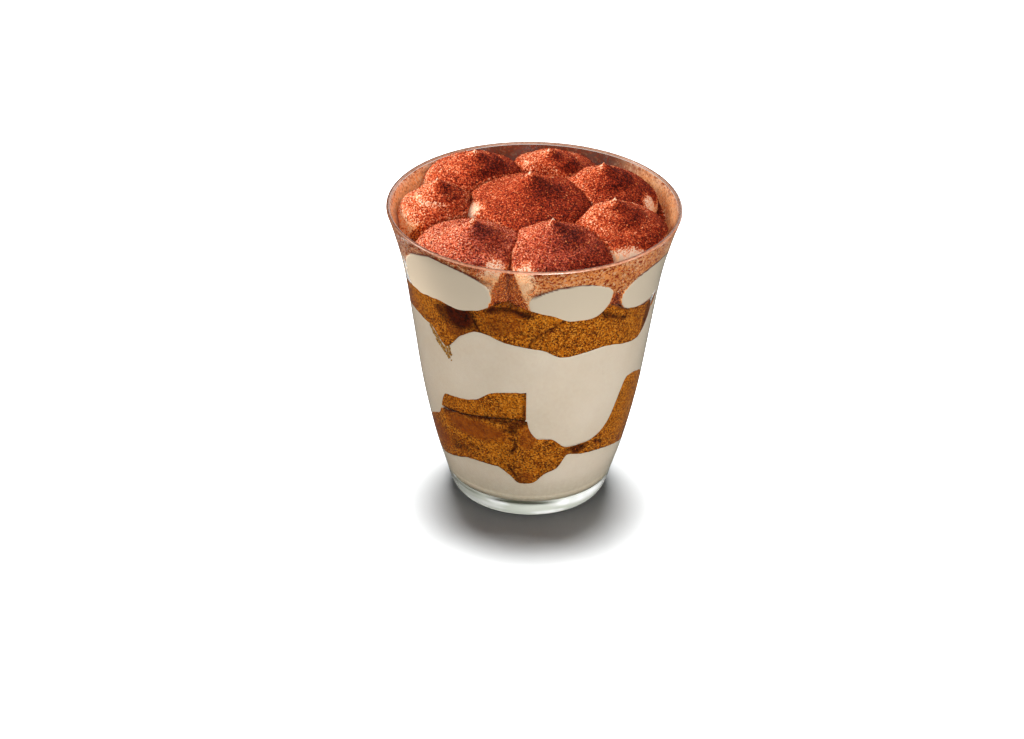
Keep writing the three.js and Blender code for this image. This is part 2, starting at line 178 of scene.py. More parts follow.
# ---- Numbers ----
def smooth_curve(knots, period=None):
    """A smooth curve through knots that never swings past them, as a function of an array."""
    knots = np.asarray(knots, float)
    if period:
        knots = np.concatenate([knots + [turns * period, 0] for turns in (-1, 0, 1)])
    x, y = knots.T
    width = np.diff(x)
    rise = np.diff(y) / width
    slopes = np.zeros(len(x))
    slopes[0], slopes[-1] = rise[0], rise[-1]
    product = rise[:-1] * rise[1:]
    total = rise[:-1] + rise[1:]
    slopes[1:-1] = np.where(product > 0, 2 * product / np.where(total == 0, 1, total), 0)

    def curve(at):
        at = np.asarray(at, float)
        if period:
            at = wrapped(at)
        i = np.clip(np.searchsorted(x, at, side="right") - 1, 0, len(x) - 2)
        t = np.clip((at - x[i]) / width[i], 0, 1)
        ease = t * t * (3 - 2 * t)
        leave = t * (1 - t) ** 2 * slopes[i] * width[i]
        arrive = t * t * (t - 1) * slopes[i + 1] * width[i]
        return y[i] * (1 - ease) + y[i + 1] * ease + leave + arrive

    return curve


def wrapped(angle):
    """An angle from -180 to 180."""
    return (np.asarray(angle, float) + 180) % 360 - 180


def smooth_step(value, low, high):
    """0 below low and 1 above high, with a smooth rise between them."""
    t = np.clip((value - low) / (high - low), 0, 1)
    return t * t * (3 - 2 * t)


def lattice_value(cell, seed):
    """A number from -1 to 1 that belongs to a cell of a lattice."""
    x, y, z = (cell[..., axis].astype(np.int64) for axis in range(3))
    mask = 0xFFFFFFFF
    mixed = (x * 374761393 + y * 668265263 + z * 1442695041 + seed * 1274126177) & mask
    mixed = ((mixed ^ (mixed >> 13)) * 1274126177) & mask
    mixed = mixed ^ (mixed >> 16)
    return mixed / mask * 2 - 1


def lumps(points, size, seed):
    """Smooth noise from -1 to 1 at points, with lumps of about the size given."""
    spot = np.asarray(points, float) / size
    cell = np.floor(spot)
    t = spot - cell
    t = t * t * (3 - 2 * t)
    total = 0
    for corner in np.ndindex(2, 2, 2):
        weight = np.prod(np.where(corner, t, 1 - t), axis=-1)
        total = total + weight * lattice_value(cell + corner, seed)
    return total


def crags(points, size, seed, octaves=3):
    """Lumps with smaller lumps on them."""
    total = sum(lumps(points, size / 2**i, seed + i) / 2**i for i in range(octaves))
    return total / sum(0.5**i for i in range(octaves))


def on_wall(angle, height, reach):
    """Points at angles round the tumbler, heights and distances from its axis."""
    turn = np.radians(angle)
    angle, height, reach = np.broadcast_arrays(turn, height, reach)
    return np.stack([reach * np.sin(angle), -reach * np.cos(angle), height], axis=-1)


def plan_point(angle, reach):
    return on_wall(angle, 0.0, reach)[:2]


def angle_of(points):
    return np.degrees(np.arctan2(points[..., 0], -points[..., 1]))


def reach_of(points):
    return np.hypot(points[..., 0], points[..., 1])


def at_heights(plan, heights):
    """Points in space from points in plan, each column of them at its own height."""
    return np.concatenate([plan, np.broadcast_to(heights[:, None], plan.shape[:2] + (1,))], -1)


outer_radius = smooth_curve(OUTLINE)


def inner_radius(height):
    """Radius of the tumbler's inside at a height, with the rounded corner above its floor."""
    height = np.asarray(height, float)
    drop = np.clip((CORNER_TOP - height) / INNER_CORNER_HEIGHT, 0, 1)
    corner = INNER_CORNER_WIDTH * (1 - np.sqrt(1 - drop * drop))
    return outer_radius(np.maximum(height, CORNER_TOP)) - WALL - corner


# ---- Meshes ----
def quads(grid, cells):
    """Faces of a grid whose first index goes round, over a number of cells along its second."""
    around, along = grid.shape[:2]
    i, k = np.meshgrid(np.arange(around), np.arange(cells), indexing="ij")
    here, after, beside = i * along, (i + 1) % around * along, (k + 1) % along
    return np.stack([here + k, here + beside, after + beside, after + k], -1).reshape(-1, 4)


def closed_ring(grid):
    """Points and faces of a closed ring. Both of the grid's indices go round."""
    return grid.reshape(-1, 3), quads(grid, grid.shape[1]).tolist()


def closed_round(grid, start, end):
    """Points and faces of a closed skin. The grid's first index goes round it and its second along it,
    between the points that close it at its start and its end."""
    around, along = grid.shape[:2]
    points = np.concatenate([grid.reshape(-1, 3), [start, end]])
    sides = quads(grid, along - 1)
    here = np.arange(around) * along
    after = np.roll(here, -1)
    first, last = np.full(around, around * along), np.full(around, around * along + 1)
    ends = [np.stack([first, here, after], -1), np.stack([last, after + along - 1, here + along - 1], -1)]
    faces = sides.tolist() + np.concatenate(ends).tolist()
    # They face outwards, whichever way the grid goes round.
    corners = points[np.concatenate([sides[:, [0, 1, 2]], sides[:, [0, 2, 3]]])]
    volume = np.einsum("ij,ij->i", corners[:, 0], np.cross(corners[:, 1], corners[:, 2])).sum()
    if volume < 0:
        faces = [face[::-1] for face in faces]
    return points, faces


def paint_points(mesh, paint):
    """Gives a mesh named values at its points, which its look reads."""
    for key, values in paint.items():
        layer = mesh.attributes.new(key, "FLOAT", "POINT")
        layer.data.foreach_set("value", np.ascontiguousarray(values, np.float32))


def add_object(name, data):
    thing = bpy.data.objects.new(name, data)
    bpy.context.scene.collection.objects.link(thing)
    return thing


def add_mesh(name, points, faces, look, smooth=True):
    """An object from points in millimetres."""
    mesh = bpy.data.meshes.new(name)
    mesh.from_pydata((points * MM).tolist(), [], faces)
    mesh.polygons.foreach_set("use_smooth", np.full(len(mesh.polygons), smooth))
    mesh.materials.append(look)
    return add_object(name, mesh)


def make_piece(name, points, faces, look, replaced=(), smooth=True, paint=None):
    """A piece of the part, with named values at its points."""
    piece = add_mesh(name, points, faces, look, smooth)
    paint_points(piece.data, paint or {})
    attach(piece, "root")
    if replaced:
        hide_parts(*replaced)
    return piece


def triples(items, key, kind=np.float32):
    """Three numbers of each of a mesh's points, normals or triangles."""
    values = np.empty(len(items) * 3, kind)
    items.foreach_get(key, values)
    return values.reshape(-1, 3)


# ---- Looks ----
def colour(code):
    """A linear colour from a six-digit screen colour."""
    parts = [int(code[i : i + 2], 16) / 255 for i in (0, 2, 4)]
    return tuple(p / 12.92 if p <= 0.04045 else ((p + 0.055) / 1.055) ** 2.4 for p in parts) + (1.0,)


class Value:
    """What a shader node gives out, with plain sums and products."""

    def __init__(self, nodes, socket):
        self.nodes, self.socket = nodes, socket

    def math(self, operation, other, clamp=False):
        return self.nodes.node("Math", 0, {0: self, 1: other}, operation=operation, use_clamp=clamp)

    def __add__(self, other):
        return self.math("ADD", other)

    def __sub__(self, other):
        return self.math("SUBTRACT", other)

    def __mul__(self, other):
        return self.math("MULTIPLY", other)

    def rescale(self, low, high, to_low=0.0, to_high=1.0):
        limits = {"From Min": low, "From Max": high, "To Min": to_low, "To Max": to_high}
        return self.nodes.node("MapRange", "Result", {"Value": self, **limits})


class Nodes:
    """The shader nodes of the world or a material."""

    def __init__(self, owner):
        owner.use_nodes = True
        self.tree = owner.node_tree

    def feed(self, socket, source):
        """Gives an input a node's value, a screen colour or a plain number."""
        if isinstance(source, Value):
            self.tree.links.new(source.socket, socket)
        else:
            socket.default_value = colour(source) if isinstance(source, str) else source

    def node(self, kind, result, inputs=None, **settings):
        """One result of a new node, with its inputs fed and its settings made."""
        node = self.tree.nodes.new("ShaderNode" + kind)
        for name, value in settings.items():
            setattr(node, name, value)
        for key, source in (inputs or {}).items():
            self.feed(node.inputs[key], source)
        return Value(self, node.outputs[result])


class Look(Nodes):
    """A material built round one Principled shader."""

    def __init__(self, name, **fed):
        self.material = bpy.data.materials.new(name)
        super().__init__(self.material)
        self.shader = self.tree.nodes["Principled BSDF"]
        self.place = self.node("TexCoord", "Object")
        self.set(**fed)

    def set(self, **fed):
        for name, source in fed.items():
            self.feed(self.shader.inputs[name.replace("_", " ")], source)

    def noise(self, size, detail=2.0, roughness=0.5, seed=0.0):
        """Noise with features of a size in millimetres."""
        inputs = {"Vector": self.place, "W": seed, "Scale": 1 / (size * MM)}
        inputs |= {"Detail": detail, "Roughness": roughness}
        return self.node("TexNoise", "Fac", inputs, noise_dimensions="4D")

    def dots(self, spacing, small, large):
        """Round dots, spaced about as far as given in millimetres, of sizes given as shares of that."""
        inputs = {"Vector": self.place, "Scale": 1 / (spacing * MM)}
        return self.node("TexVoronoi", "Distance", inputs).rescale(large, small)

    def level(self, low, high):
        """0 at one height in millimetres and 1 at another."""
        return self.node("SeparateXYZ", "Z", {0: self.place}).rescale(low * MM, high * MM)

    def painted(self, *names):
        """The values that a piece holds at its points, by their names."""
        return [self.node("Attribute", "Fac", attribute_name=name) for name in names]

    def ramp(self, factor, stops):
        """A colour for each value of a factor, from colours at some of its values."""
        result = self.node("ValToRGB", "Color", {"Fac": factor})
        elements = result.socket.node.color_ramp.elements
        while len(elements) < len(stops):
            elements.new(1.0)
        for element, (position, code) in zip(elements, stops.items()):
            element.position = position
            element.color = colour(code)
        return result

    def mix(self, factor, first, second):
        """The first colour where the factor is 0 and the second where it is 1."""
        return self.node("Mix", 2, {"Factor": factor, 6: first, 7: second}, data_type="RGBA")

    def coated(self, base, *coats):
        """A base colour under coats, each given by how far it covers and by its colour."""
        for cover, coat in coats:
            base = self.mix(cover, base, coat)
        return base

    def relief(self, height, depth, strength=1.0):
        """Gives the surface relief of a depth in millimetres."""
        inputs = {"Strength": strength, "Distance": depth * MM, "Height": height}
        self.set(Normal=self.node("Bump", "Normal", inputs))

    def let_light_through(self):
        """Lets lamps and the light that things throw on each other pass the glass unbent."""
        surface = Value(self, self.shader.outputs["BSDF"])
        clear = self.node("BsdfTransparent", "BSDF")
        for ray in ("Is Shadow Ray", "Is Diffuse Ray"):
            passing = self.node("LightPath", ray)
            surface = self.node("MixShader", "Shader", {0: passing, 1: surface, 2: clear})
        self.feed(self.tree.nodes["Material Output"].inputs["Surface"], surface)


def wall_look():
    look = Look("clear_glass", Transmission_Weight=1.0, IOR=1.12, Base_Color="f4f8f5")
    look.set(Roughness=look.noise(6, detail=3, seed=3).rescale(0.35, 0.75, 0.0, 0.03))
    look.relief(look.noise(14, detail=1), 0.12, strength=0.2)
    look.let_light_through()
    return look.material


def foot_look():
    """The thick foot, with painted highlights where real glass gathers light, and a painted dark greenish
    line of shade under the cream.
    """
    look = Look("clear_glass_foot", Transmission_Weight=0.5, IOR=1.5, Roughness=0.08)
    painted_gleam, shade = look.painted("painted_gleam", "shade")
    waver = look.noise(5, seed=17).rescale(0.35, 0.65, 0.5, 1.0)
    body = look.mix(look.noise(9, seed=18), "b4b8ab", "ccd0c6")
    # Painted highlights in white and a painted line of shade in dark green-grey.
    look.set(Base_Color=look.coated(body, (painted_gleam * waver, "ffffff"), (shade, "3c3e32")))
    look.let_light_through()
    return look.material


def lip_look():
    """The fire-polished lip, painted a warm light colour that stands in for its highlights, mottled and
    darker along its crest.
    """
    look = Look("glass_lip", Transmission_Weight=0.35, IOR=1.5, Roughness=0.25)
    (ridge,) = look.painted("ridge")
    lip_mottle = look.noise(0.9, seed=11).rescale(0.35, 0.75)
    # A painted highlight: the lip's warm light colour, darker along the crest.
    painted_lip_highlight = look.mix(lip_mottle, "b58468", "96593d")
    look.set(Base_Color=look.mix(ridge * lip_mottle.rescale(0.0, 1.0, 0.5, 1.0), painted_lip_highlight, "5e2c18"))
    return look.material


def film_look():
    """The thin film of cream and cocoa that the piping left on the glass. At the back it is painted darker,
    as shade.
    """
    look = Look("cocoa_film", Roughness=0.75, Specular_IOR_Level=0.06)
    cover, shaded_back = look.painted("cover", "shaded_back")
    broad = look.noise(7, detail=3, seed=13).rescale(0.3, 0.7)
    fine = look.noise(0.8, detail=3, roughness=0.6, seed=14)
    specks = fine.rescale(0.51, 0.545)
    thin_warm, thick_warm = "ffa45a", look.mix(broad, "ffc28a", "f8a466")
    warm = look.mix(cover.rescale(0.5, 0.8), thin_warm, thick_warm)
    # Painted shade: the film's darker colour at the back.
    back_shade_grey = look.mix(broad, "744230", "5a3020")
    dark = specks * cover.rescale(0.5, 0.8, 1.0, 0.45)
    light = look.noise(0.7, detail=1, seed=15).rescale(0.56, 0.62, 0.0, 0.75)
    light = light * shaded_back.rescale(0.0, 1.0, 1.0, 0.1)
    look.set(Base_Color=look.coated(warm, (shaded_back, back_shade_grey), (dark, "86290a"), (light, "ffcb9a")))
    thick = cover + (broad - 0.5) * 0.25
    speck_cover = specks * cover.rescale(0.03, 0.2, 0.0, 0.9)
    look.set(Alpha=thick.math("MAXIMUM", speck_cover, clamp=True))
    look.relief(fine, 0.1, strength=0.5)
    return look.material


def cream_look():
    look = Look("cream", Roughness=0.5, Specular_IOR_Level=0.1)
    look.set(Subsurface_Weight=0.25, Subsurface_Scale=0.002, Subsurface_Radius=(1.0, 0.7, 0.5))
    broad = look.noise(16).rescale(0.3, 0.7)
    fine = look.noise(1.1, detail=3, seed=4).rescale(0.35, 0.7)
    specks = look.noise(0.7, detail=1, seed=8).rescale(0.74, 0.8, 0.0, 0.5)
    body = look.mix(broad, "dbcab6", "d2bfa8")
    # Painted shade: the cream is darker towards the bottom.
    coats = [(look.level(16, 7), "b9aa92"), (fine * 0.25, "e3d8c4"), (specks, "b9a380")]
    look.set(Base_Color=look.coated(body, *coats))
    look.relief(fine, 0.05, strength=0.4)
    return look.material


def sponge_look():
    look = Look("sponge", Specular_IOR_Level=0.04)
    soaked, wet, golden_and_lit = look.painted("soaked", "wet", "golden_and_lit")
    broad = look.noise(3.4, detail=3).rescale(0.3, 0.7)
    pores = look.noise(0.9, roughness=0.6, seed=2)
    open_pores = look.dots(0.72, 0.24, 0.42).math("MAXIMUM", pores.rescale(0.56, 0.66, 0.0, 0.8))
    flecks = look.noise(0.45, detail=1, seed=6).rescale(0.5, 0.58, 0.0, 0.95)
    crumb = look.mix(broad, "7a3607", "ba650e")
    melted = look.mix(look.noise(2.2, seed=9).rescale(0.35, 0.7), "7c360e", "a35213")
    dark = look.mix(pores.rescale(0.4, 0.65), "4a1706", "180602")
    dark_pores = open_pores * golden_and_lit.rescale(0.0, 1.0, 1.0, 0.7)
    # Gold-coloured crust, and a painted pool of light at the right.
    coats = [(golden_and_lit * 0.8, "c26d10"), (flecks, "db8a2e"), (dark_pores, "3a1505")]
    # Dark where the crumb is deep wet, and painted shade in hollows, creases and along the edges.
    look.set(Base_Color=look.coated(crumb, *coats, (wet * 0.9, melted), (soaked, dark)))
    look.set(Roughness=wet.rescale(0.0, 1.0, 0.8, 0.45))
    look.relief(open_pores.rescale(1.0, 0.0), 0.3, strength=0.8)
    return look.material


def dusted_look():
    """Cream under cocoa, which is red on a dollop's top and orange low on its sides at the glass."""
    look = Look("cocoa_dusted_cream", Specular_IOR_Level=0.08)
    dust_and_shading, line, wedge, painted_sheen = look.painted("dust_and_shading", "line", "wedge", "painted_sheen")
    grain = look.noise(0.62, roughness=0.6) - 0.5
    fine = look.noise(0.36, detail=1, seed=5) - 0.5
    patch = look.noise(5, seed=7) - 0.5
    specks = look.dots(0.5, 0.2, 0.5) - 0.4
    # The cocoa's thickness here carries painted light and shade as well.
    swing = (grain * 1.7 + fine * 0.9 + specks * 0.42) * dust_and_shading.rescale(0.0, 0.3)
    thick = (dust_and_shading * 0.66 + patch * 0.22).math("ADD", swing, clamp=True)
    red = {0.0: "f0cdb0", 0.2: "e59066", 0.4: "c8542a", 0.6: "a03418", 0.8: "6e1a0a", 1.0: "3a0803"}
    orange = {0.0: "ffc284", 0.24: "fb8a38", 0.5: "b4480c", 0.85: "421204"}
    dusted = look.mix(wedge * 0.95, look.ramp(thick, red), look.ramp(thick, orange))
    body = look.mix(dust_and_shading.rescale(0.02, 0.12), "d5c4ad", dusted)
    # A painted sheen: pale lilac specks on the cocoa.
    sheen_specks = painted_sheen * grain.rescale(0.08, -0.12)
    edge = line.math("MULTIPLY", grain.rescale(-0.35, -0.15), clamp=True)
    look.set(Base_Color=look.coated(body, (sheen_specks, "c79a96"), (edge, "4c160a")))
    look.set(Roughness=dust_and_shading.rescale(0.0, 0.4, 0.45, 0.85))
    look.relief(swing, 0.45, strength=0.9)
    return look.material


def grain_look():
    look = Look("cocoa_grains", Roughness=0.8, Specular_IOR_Level=0.1)
    (tone,) = look.painted("tone")
    stops = {0.0: "3e0d05", 0.35: "7a220c", 0.62: "a8421f", 0.85: "d67a48", 1.0: "efbb90"}
    look.set(Base_Color=look.ramp(look.noise(0.3, detail=1) * 0.25 + tone - 0.12, stops))
    return look.material


def crumb_look():
    look = Look("sponge_crumbs", Roughness=0.8, Specular_IOR_Level=0.1)
    shade = look.noise(0.5).rescale(0.35, 0.65)
    look.set(Base_Color=look.mix(shade, "5e3410", "c08f4a"))
    look.relief(shade, 0.1)
    return look.material


def floor_look():
    look = Look("pale_floor", Roughness=0.9)
    look.set(Base_Color=look.mix(look.noise(60), "bec4cb", "c0c6cd"))
    return look.material


# ---- Tumbler ----
# How high the underside is hollowed in the middle, and where its flat ring starts.
HOLLOW = 0.9
RING_START = 20.3
# How far down from the rim the look of the lip goes.
LIP_HEIGHT = 0.8
# Heights down the inside's rounded corner.
CORNER_HEIGHTS = CORNER_TOP - INNER_CORNER_HEIGHT * np.sin(np.radians(np.linspace(0, 90, 12)))
# Painted highlights and painted shade on the foot: (angle, height, half width in degrees, half height,
# strength).
PAINTED_GLEAMS = [
    (44, 5.0, 30, 2.0, 1.0), (16, 1.6, 14, 1.0, 1.0), (-22, 5.0, 9, 1.2, 1.0), (-34, 2.6, 20, 1.0, 0.6),
    (118, 4.0, 22, 1.4, 0.9), (-112, 3.8, 24, 1.4, 0.9), (175, 4.0, 24, 1.3, 0.8),
]
PAINTED_SHADES = [
    (-5, 6.1, 28, 1.2, 1.0), (-55, 6.0, 24, 0.7, 0.6), (85, 5.9, 20, 0.7, 0.6),
    (150, 5.8, 24, 0.7, 0.7), (-150, 5.8, 24, 0.7, 0.7),
]


def tumbler():
    """Half its section goes from the axis under the foot, up the outside, over the rim and down."""
    foot_top, foot_top_radius = OUTLINE[0]
    t = np.linspace(0, 1, 14)
    heel_radius = FOOT_RADIUS * (1 - t) ** 2 + foot_top_radius * t * t
    heel_radius += 2 * FOOT_CORNER_RADIUS * t * (1 - t)
    lip = WALL / 2
    rim_foot = CUP_HEIGHT - lip
    up = np.linspace(foot_top, rim_foot, 60)[1:]
    turns = np.radians(np.arange(15, 180, 15))
    down = np.concatenate([np.linspace(rim_foot, CORNER_TOP, 60), CORNER_HEIGHTS[1:]])
    under = np.linspace(0, RING_START, 10)[1:]
    cup_floor = np.linspace(inner_radius(BASE), 0, 8)[1:-1]
    section = [
        (under, HOLLOW * (1 - (under / RING_START) ** 2)),
        (heel_radius, foot_top * t * t),
        (outer_radius(up), up),
        (RIM_RADIUS - lip + lip * np.cos(turns), rim_foot + lip * np.sin(turns)),
        (inner_radius(down), down),
        (cup_floor, np.full(len(cup_floor), BASE)),
    ]
    radii, heights = (np.concatenate(part) for part in zip(*section))
    grid = on_wall(np.arange(0, 360, 1.5)[:, None], heights, radii)
    points, faces = closed_round(grid, [0, 0, HOLLOW], [0, 0, BASE])
    outside = reach_of(points) > FOOT_RADIUS - 0.5
    paint = {
        "ridge": 1 - smooth_step(np.abs(reach_of(points) - RIM_RADIUS + lip), 0.1, 0.4),
        # Painted highlights and painted shade, on the foot's outside only.
        "painted_gleam": places(angle_of(points), points[:, 2], PAINTED_GLEAMS) * outside,
        "shade": places(angle_of(points), points[:, 2], PAINTED_SHADES) * outside,
    }
    piece = make_piece("tumbler", points, faces, wall_look(), ["cup"], paint=paint)
    for look in (foot_look(), lip_look()):
        piece.data.materials.append(look)
    level = np.array([polygon.center[2] for polygon in piece.data.polygons]) / MM
    zone = np.where(level < foot_top, 1, np.where(level > CUP_HEIGHT - LIP_HEIGHT, 2, 0))
    piece.data.polygons.foreach_set("material_index", zone.astype(np.int32))
    return piece


# ---- Film on the glass ----
FILM_FOOT = 82.5
FILM_TOP = 95.9
FILM_ROWS = 28
# How far its inner side lies in from the wall, and its outer side in the wall.
FILM_SIDES = (0.08, 0.04)
# Angles at which the film is thick or thin, as [angle, cover].
FILM_COVER = [
    [-150, 0.9], [-115, 0.97], [-85, 0.8], [-60, 0.3], [-30, 0.3], [-20, 0.1], [-10, 0.05], [-2, 0.06],
    [6, 0.42], [20, 0.55], [40, 0.5], [60, 0.5], [85, 0.97], [120, 0.95], [145, 0.85], [180, 0.92],
]


def film():
    """A thin ring that covers the glass more or less, with a fading foot and a thinner top."""
    angles = np.arange(0, 360, 1.0)[:, None]
    up = np.linspace(FILM_FOOT, FILM_TOP, FILM_ROWS)
    height = np.concatenate([up, up[::-1]])
    inner, outer = FILM_SIDES
    side = np.repeat([outer, -inner], FILM_ROWS)
    points, faces = closed_ring(on_wall(angles, height, inner_radius(height) + side))
    angle, level = angle_of(points), points[:, 2]
    spotty = crags(points, 5.0, 71)
    # The back, where the film is painted darker as shade.
    shaded_back = smooth_step(np.abs(angle), 118, 150)
    cover = smooth_curve(FILM_COVER, 360)(angle) * (1 + 0.35 * spotty)
    cover = cover * smooth_step(level + 1.5 * spotty, FILM_FOOT + 0.5, FILM_FOOT + 3)
    cover = cover * (1 - 0.45 * (1 - shaded_back) * smooth_step(level + spotty, FILM_TOP - 2.5, FILM_TOP))
    paint = {"cover": cover, "shaded_back": shaded_back}
    make_piece("cocoa_film", points, faces, film_look(), paint=paint)


# ---- Layer surfaces ----
def surface(edge, middle):
    """A surface that follows a curve at the wall and levels out towards a height at the axis."""
    return lambda angle, share: middle + (edge(angle) - middle) * share * (1 + EDGE_REACH * (1 - share))


lower_floor = smooth_curve(LOWER_FLOOR, 360)
lower_roof = smooth_curve(LOWER_ROOF, 360)
seam = smooth_curve(SEAM, 360)
upper_floor = smooth_curve(UPPER_FLOOR, 360)
upper_roof = smooth_curve(UPPER_ROOF, 360)


def under_seam(angle):
    """The top of the lower fingers, which stay under the short finger that lies on them."""
    covered = (wrapped(angle) > -61) & (wrapped(angle) < 2)
    return np.where(covered, np.minimum(lower_roof(angle), seam(angle)), lower_roof(angle))


def ragged(curve, seed, depth=0.32):
    """A curve round the wall with the uneven edge of soft crumb."""
    def uneven(angle):
        spot = on_wall(angle, 0.0, 38.0)
        return curve(angle) + depth * crags(spot, 3.2, seed, 4)

    return uneven


def edges_of(name):
    """Underside and top of a finger at the wall, and their heights at the axis."""
    if name == "sponge_lower_short":
        return ragged(seam, 21, 0.15), ragged(lower_roof, 22), LOWER_ROOF_MIDDLE, LOWER_ROOF_MIDDLE
    if name.startswith("sponge_lower"):
        return ragged(lower_floor, 23), ragged(under_seam, 22), LOWER_FLOOR_MIDDLE, LOWER_ROOF_MIDDLE
    return ragged(upper_floor, 25), ragged(upper_roof, 26), UPPER_FLOOR_MIDDLE, UPPER_ROOF_MIDDLE


# ---- Sponge ----
# Creases in the sponge at the wall, pressed in and painted dark as shade, as paths of (angle, height) with
# a width in millimetres.
CREASES = [
    ([(-19, 79.6), (-15, 81.2), (-10, 81.4), (-6, 80.4), (-1, 79.6)], 1.7),
    ([(-9, 81.3), (-4, 79.4), (1, 79.2)], 0.8),
    ([(9, 79.9), (14, 79.2), (14.8, 77.6), (12.5, 75.8), (8, 74.6), (4, 72.6), (0, 69.4), (-1, 67.5)], 0.7),
    ([(-26.6, 79), (-27, 75), (-25, 71.5), (-21, 69.2)], 0.9),
    ([(33, 77.5), (36, 75.6), (40, 74.4), (46, 73)], 1.2),
    ([(-54, 36), (-44, 37.2), (-30, 38.6), (-20, 39.6)], 1.1),
    ([(-22, 39.4), (-14, 39.2), (-8, 38.8), (-2, 39.4)], 1.9),
    ([(-2.6, 50), (-2.5, 44), (-2.2, 40.5)], 0.9),
    ([(-13, 35.6), (-9.5, 35), (-8, 34.4)], 1.2),
    ([(-10.4, 32.5), (-8.6, 31.6), (-7.6, 30), (-8.6, 28), (-10.2, 26.5)], 1.0),
    ([(-12, 21), (-9, 17.5), (-7, 15.2)], 1.0),
    ([(-48, 23), (-42, 24.5), (-38, 24)], 1.3),
    ([(-36, 26.5), (-31, 25.4)], 1.0),
    ([(24, 27.4), (30, 27.2), (34, 28)], 1.5),
    ([(40, 27.8), (46, 26.4)], 1.0),
]
# Dark places, partly deep wet crumb and partly painted shade in the hollows between fingers: (angle,
# height, half width in degrees, half height in millimetres, strength).
SOAKED_AND_SHADED_PLACES = [
    (-34.5, 75, 10.5, 6.5, 1.0), (-9, 36.4, 3.5, 1.8, 0.8), (-43, 74, 6, 3.8, 0.8),
    (-35, 68, 7, 2.2, 0.35), (67, 68, 4.5, 6.5, 0.75), (35.5, 76.2, 3.2, 1.7, 0.8),
    (29, 27, 6, 2.2, 0.9), (-4, 15.4, 6, 2.6, 0.3), (-46, 24, 9, 2.6, 0.35), (-18, 74, 9, 4, 0.22),
    (150, 73, 3.5, 4, 0.6), (113, 29, 3, 5, 0.5), (-125, 22, 5, 4, 0.5), (-128, 72, 3.5, 4, 0.6),
    (200, 67, 13, 2.5, 0.4), (96, 68, 10, 3, 0.4),
]
# Smooth reddish places where the coffee has melted the crumb, in the same form.
WET_PLACES = [
    (-32, 33.5, 22, 4.2, 0.95), (-66, 24, 16, 5, 0.7), (-1, 33, 6, 5, 0.75), (-2, 16.5, 7, 3, 0.6),
    (-10, 79.4, 9, 1.7, 0.6), (-13, 75.5, 11, 5, 0.5), (-36, 68.5, 8, 1.8, 0.6), (-75, 70, 14, 4, 0.35),
    (175, 26, 24, 5, 0.8), (120, 70, 15, 4, 0.4), (-160, 66, 16, 4, 0.5), (135, 22, 14, 4, 0.5),
]
# Bright gold-coloured crust, in the same form. The broad place at 66 degrees on the right is a painted pool
# of light.
GOLDEN_AND_LIT_PLACES = [
    (-8, 46, 8, 5, 0.9), (-30, 42, 16, 2.5, 0.5), (8, 78.2, 6, 2, 1.0), (-62, 73, 15, 5, 1.0),
    (-18, 28, 8, 4, 0.5), (54, 68, 8, 5, 0.5), (66, 36, 24, 12, 0.9), (-115, 71, 12, 4, 0.6),
    (165, 72, 12, 4, 0.6), (-175, 30, 12, 4, 0.6),
]
# The length of a degree at the wall, at a middling radius.
DEGREE = math.radians(37)


def places(angle, height, marks):
    """How strongly soft oval marks cover points on the wall."""
    cover = np.zeros(np.shape(angle))
    for middle, level, width, depth, strength in marks:
        distance = np.hypot(wrapped(angle - middle) / width, (height - level) / depth)
        cover = np.maximum(cover, strength * (1 - smooth_step(distance, 0.55, 1.15)))
    return cover


def strokes(angle, height, marks):
    """How strongly drawn lines cover points on the wall."""
    cover = np.zeros(np.shape(angle))
    for path, width in marks:
        for (turn, level), (next_turn, next_level) in zip(path, path[1:]):
            x, y = wrapped(angle - turn) * DEGREE, height - level
            run, rise = (next_turn - turn) * DEGREE, next_level - level
            t = np.clip((x * run + y * rise) / (run * run + rise * rise), 0, 1)
            distance = np.hypot(x - t * run, y - t * rise)
            cover = np.maximum(cover, 1 - smooth_step(distance, 0.1 * width, 1.3 * width))
    return cover


def end_share(distance):
    """Share of its full thickness that a finger has at a distance from its round end."""
    inward = np.clip(1 - distance / END_ROUNDING, 0, 1)
    return THINNEST_END + (1 - THINNEST_END) * np.sqrt(1 - inward * inward)


# How far a finger's edges at the glass are rounded, and its rows of points at the glass and inside.
EDGE_ROUND = 0.8
WALL_ROWS = 46
INNER_ROWS = 9
# Cream swells up between two upper fingers at the right: the angles between which it rises and falls
# again, how high, how far it pushes the sponge back, and over which heights below its top.
SMEAR = (70.0, 78.0, 79.0, 88.0)
SMEAR_TOP = 77.5
SMEAR_DEPTH = 0.9
SMEAR_SOFTNESS = (0.3, 1.3)
# How deep pits and creases go into a finger's face, and the most that both go together.
PIT_DEPTH = 0.15
CREASE_DEPTH = 0.12
DEEPEST = 0.17


def fullness(name, angles):
    """Share of its full thickness that a finger has at each angle, by its round ends."""
    start, stop, start_kind, stop_kind, _ = FINGERS[name]
    full = end_share((angles - start) * DEGREE) if start_kind == ROUND else np.ones(len(angles))
    return np.minimum(full, end_share((stop - angles) * DEGREE)) if stop_kind == ROUND else full


def span(name):
    """The angles between which a finger runs, with what lies behind its neighbours."""
    start, stop, start_kind, stop_kind, _ = FINGERS[name]
    return start - RUN_ON * (start_kind == HIDDEN), stop + RUN_ON * (stop_kind == HIDDEN)


def finger_height(bottom, top, full, from_top):
    return (bottom + top) / 2 + (top - bottom) / 2 * full * (1 - 2 * from_top)


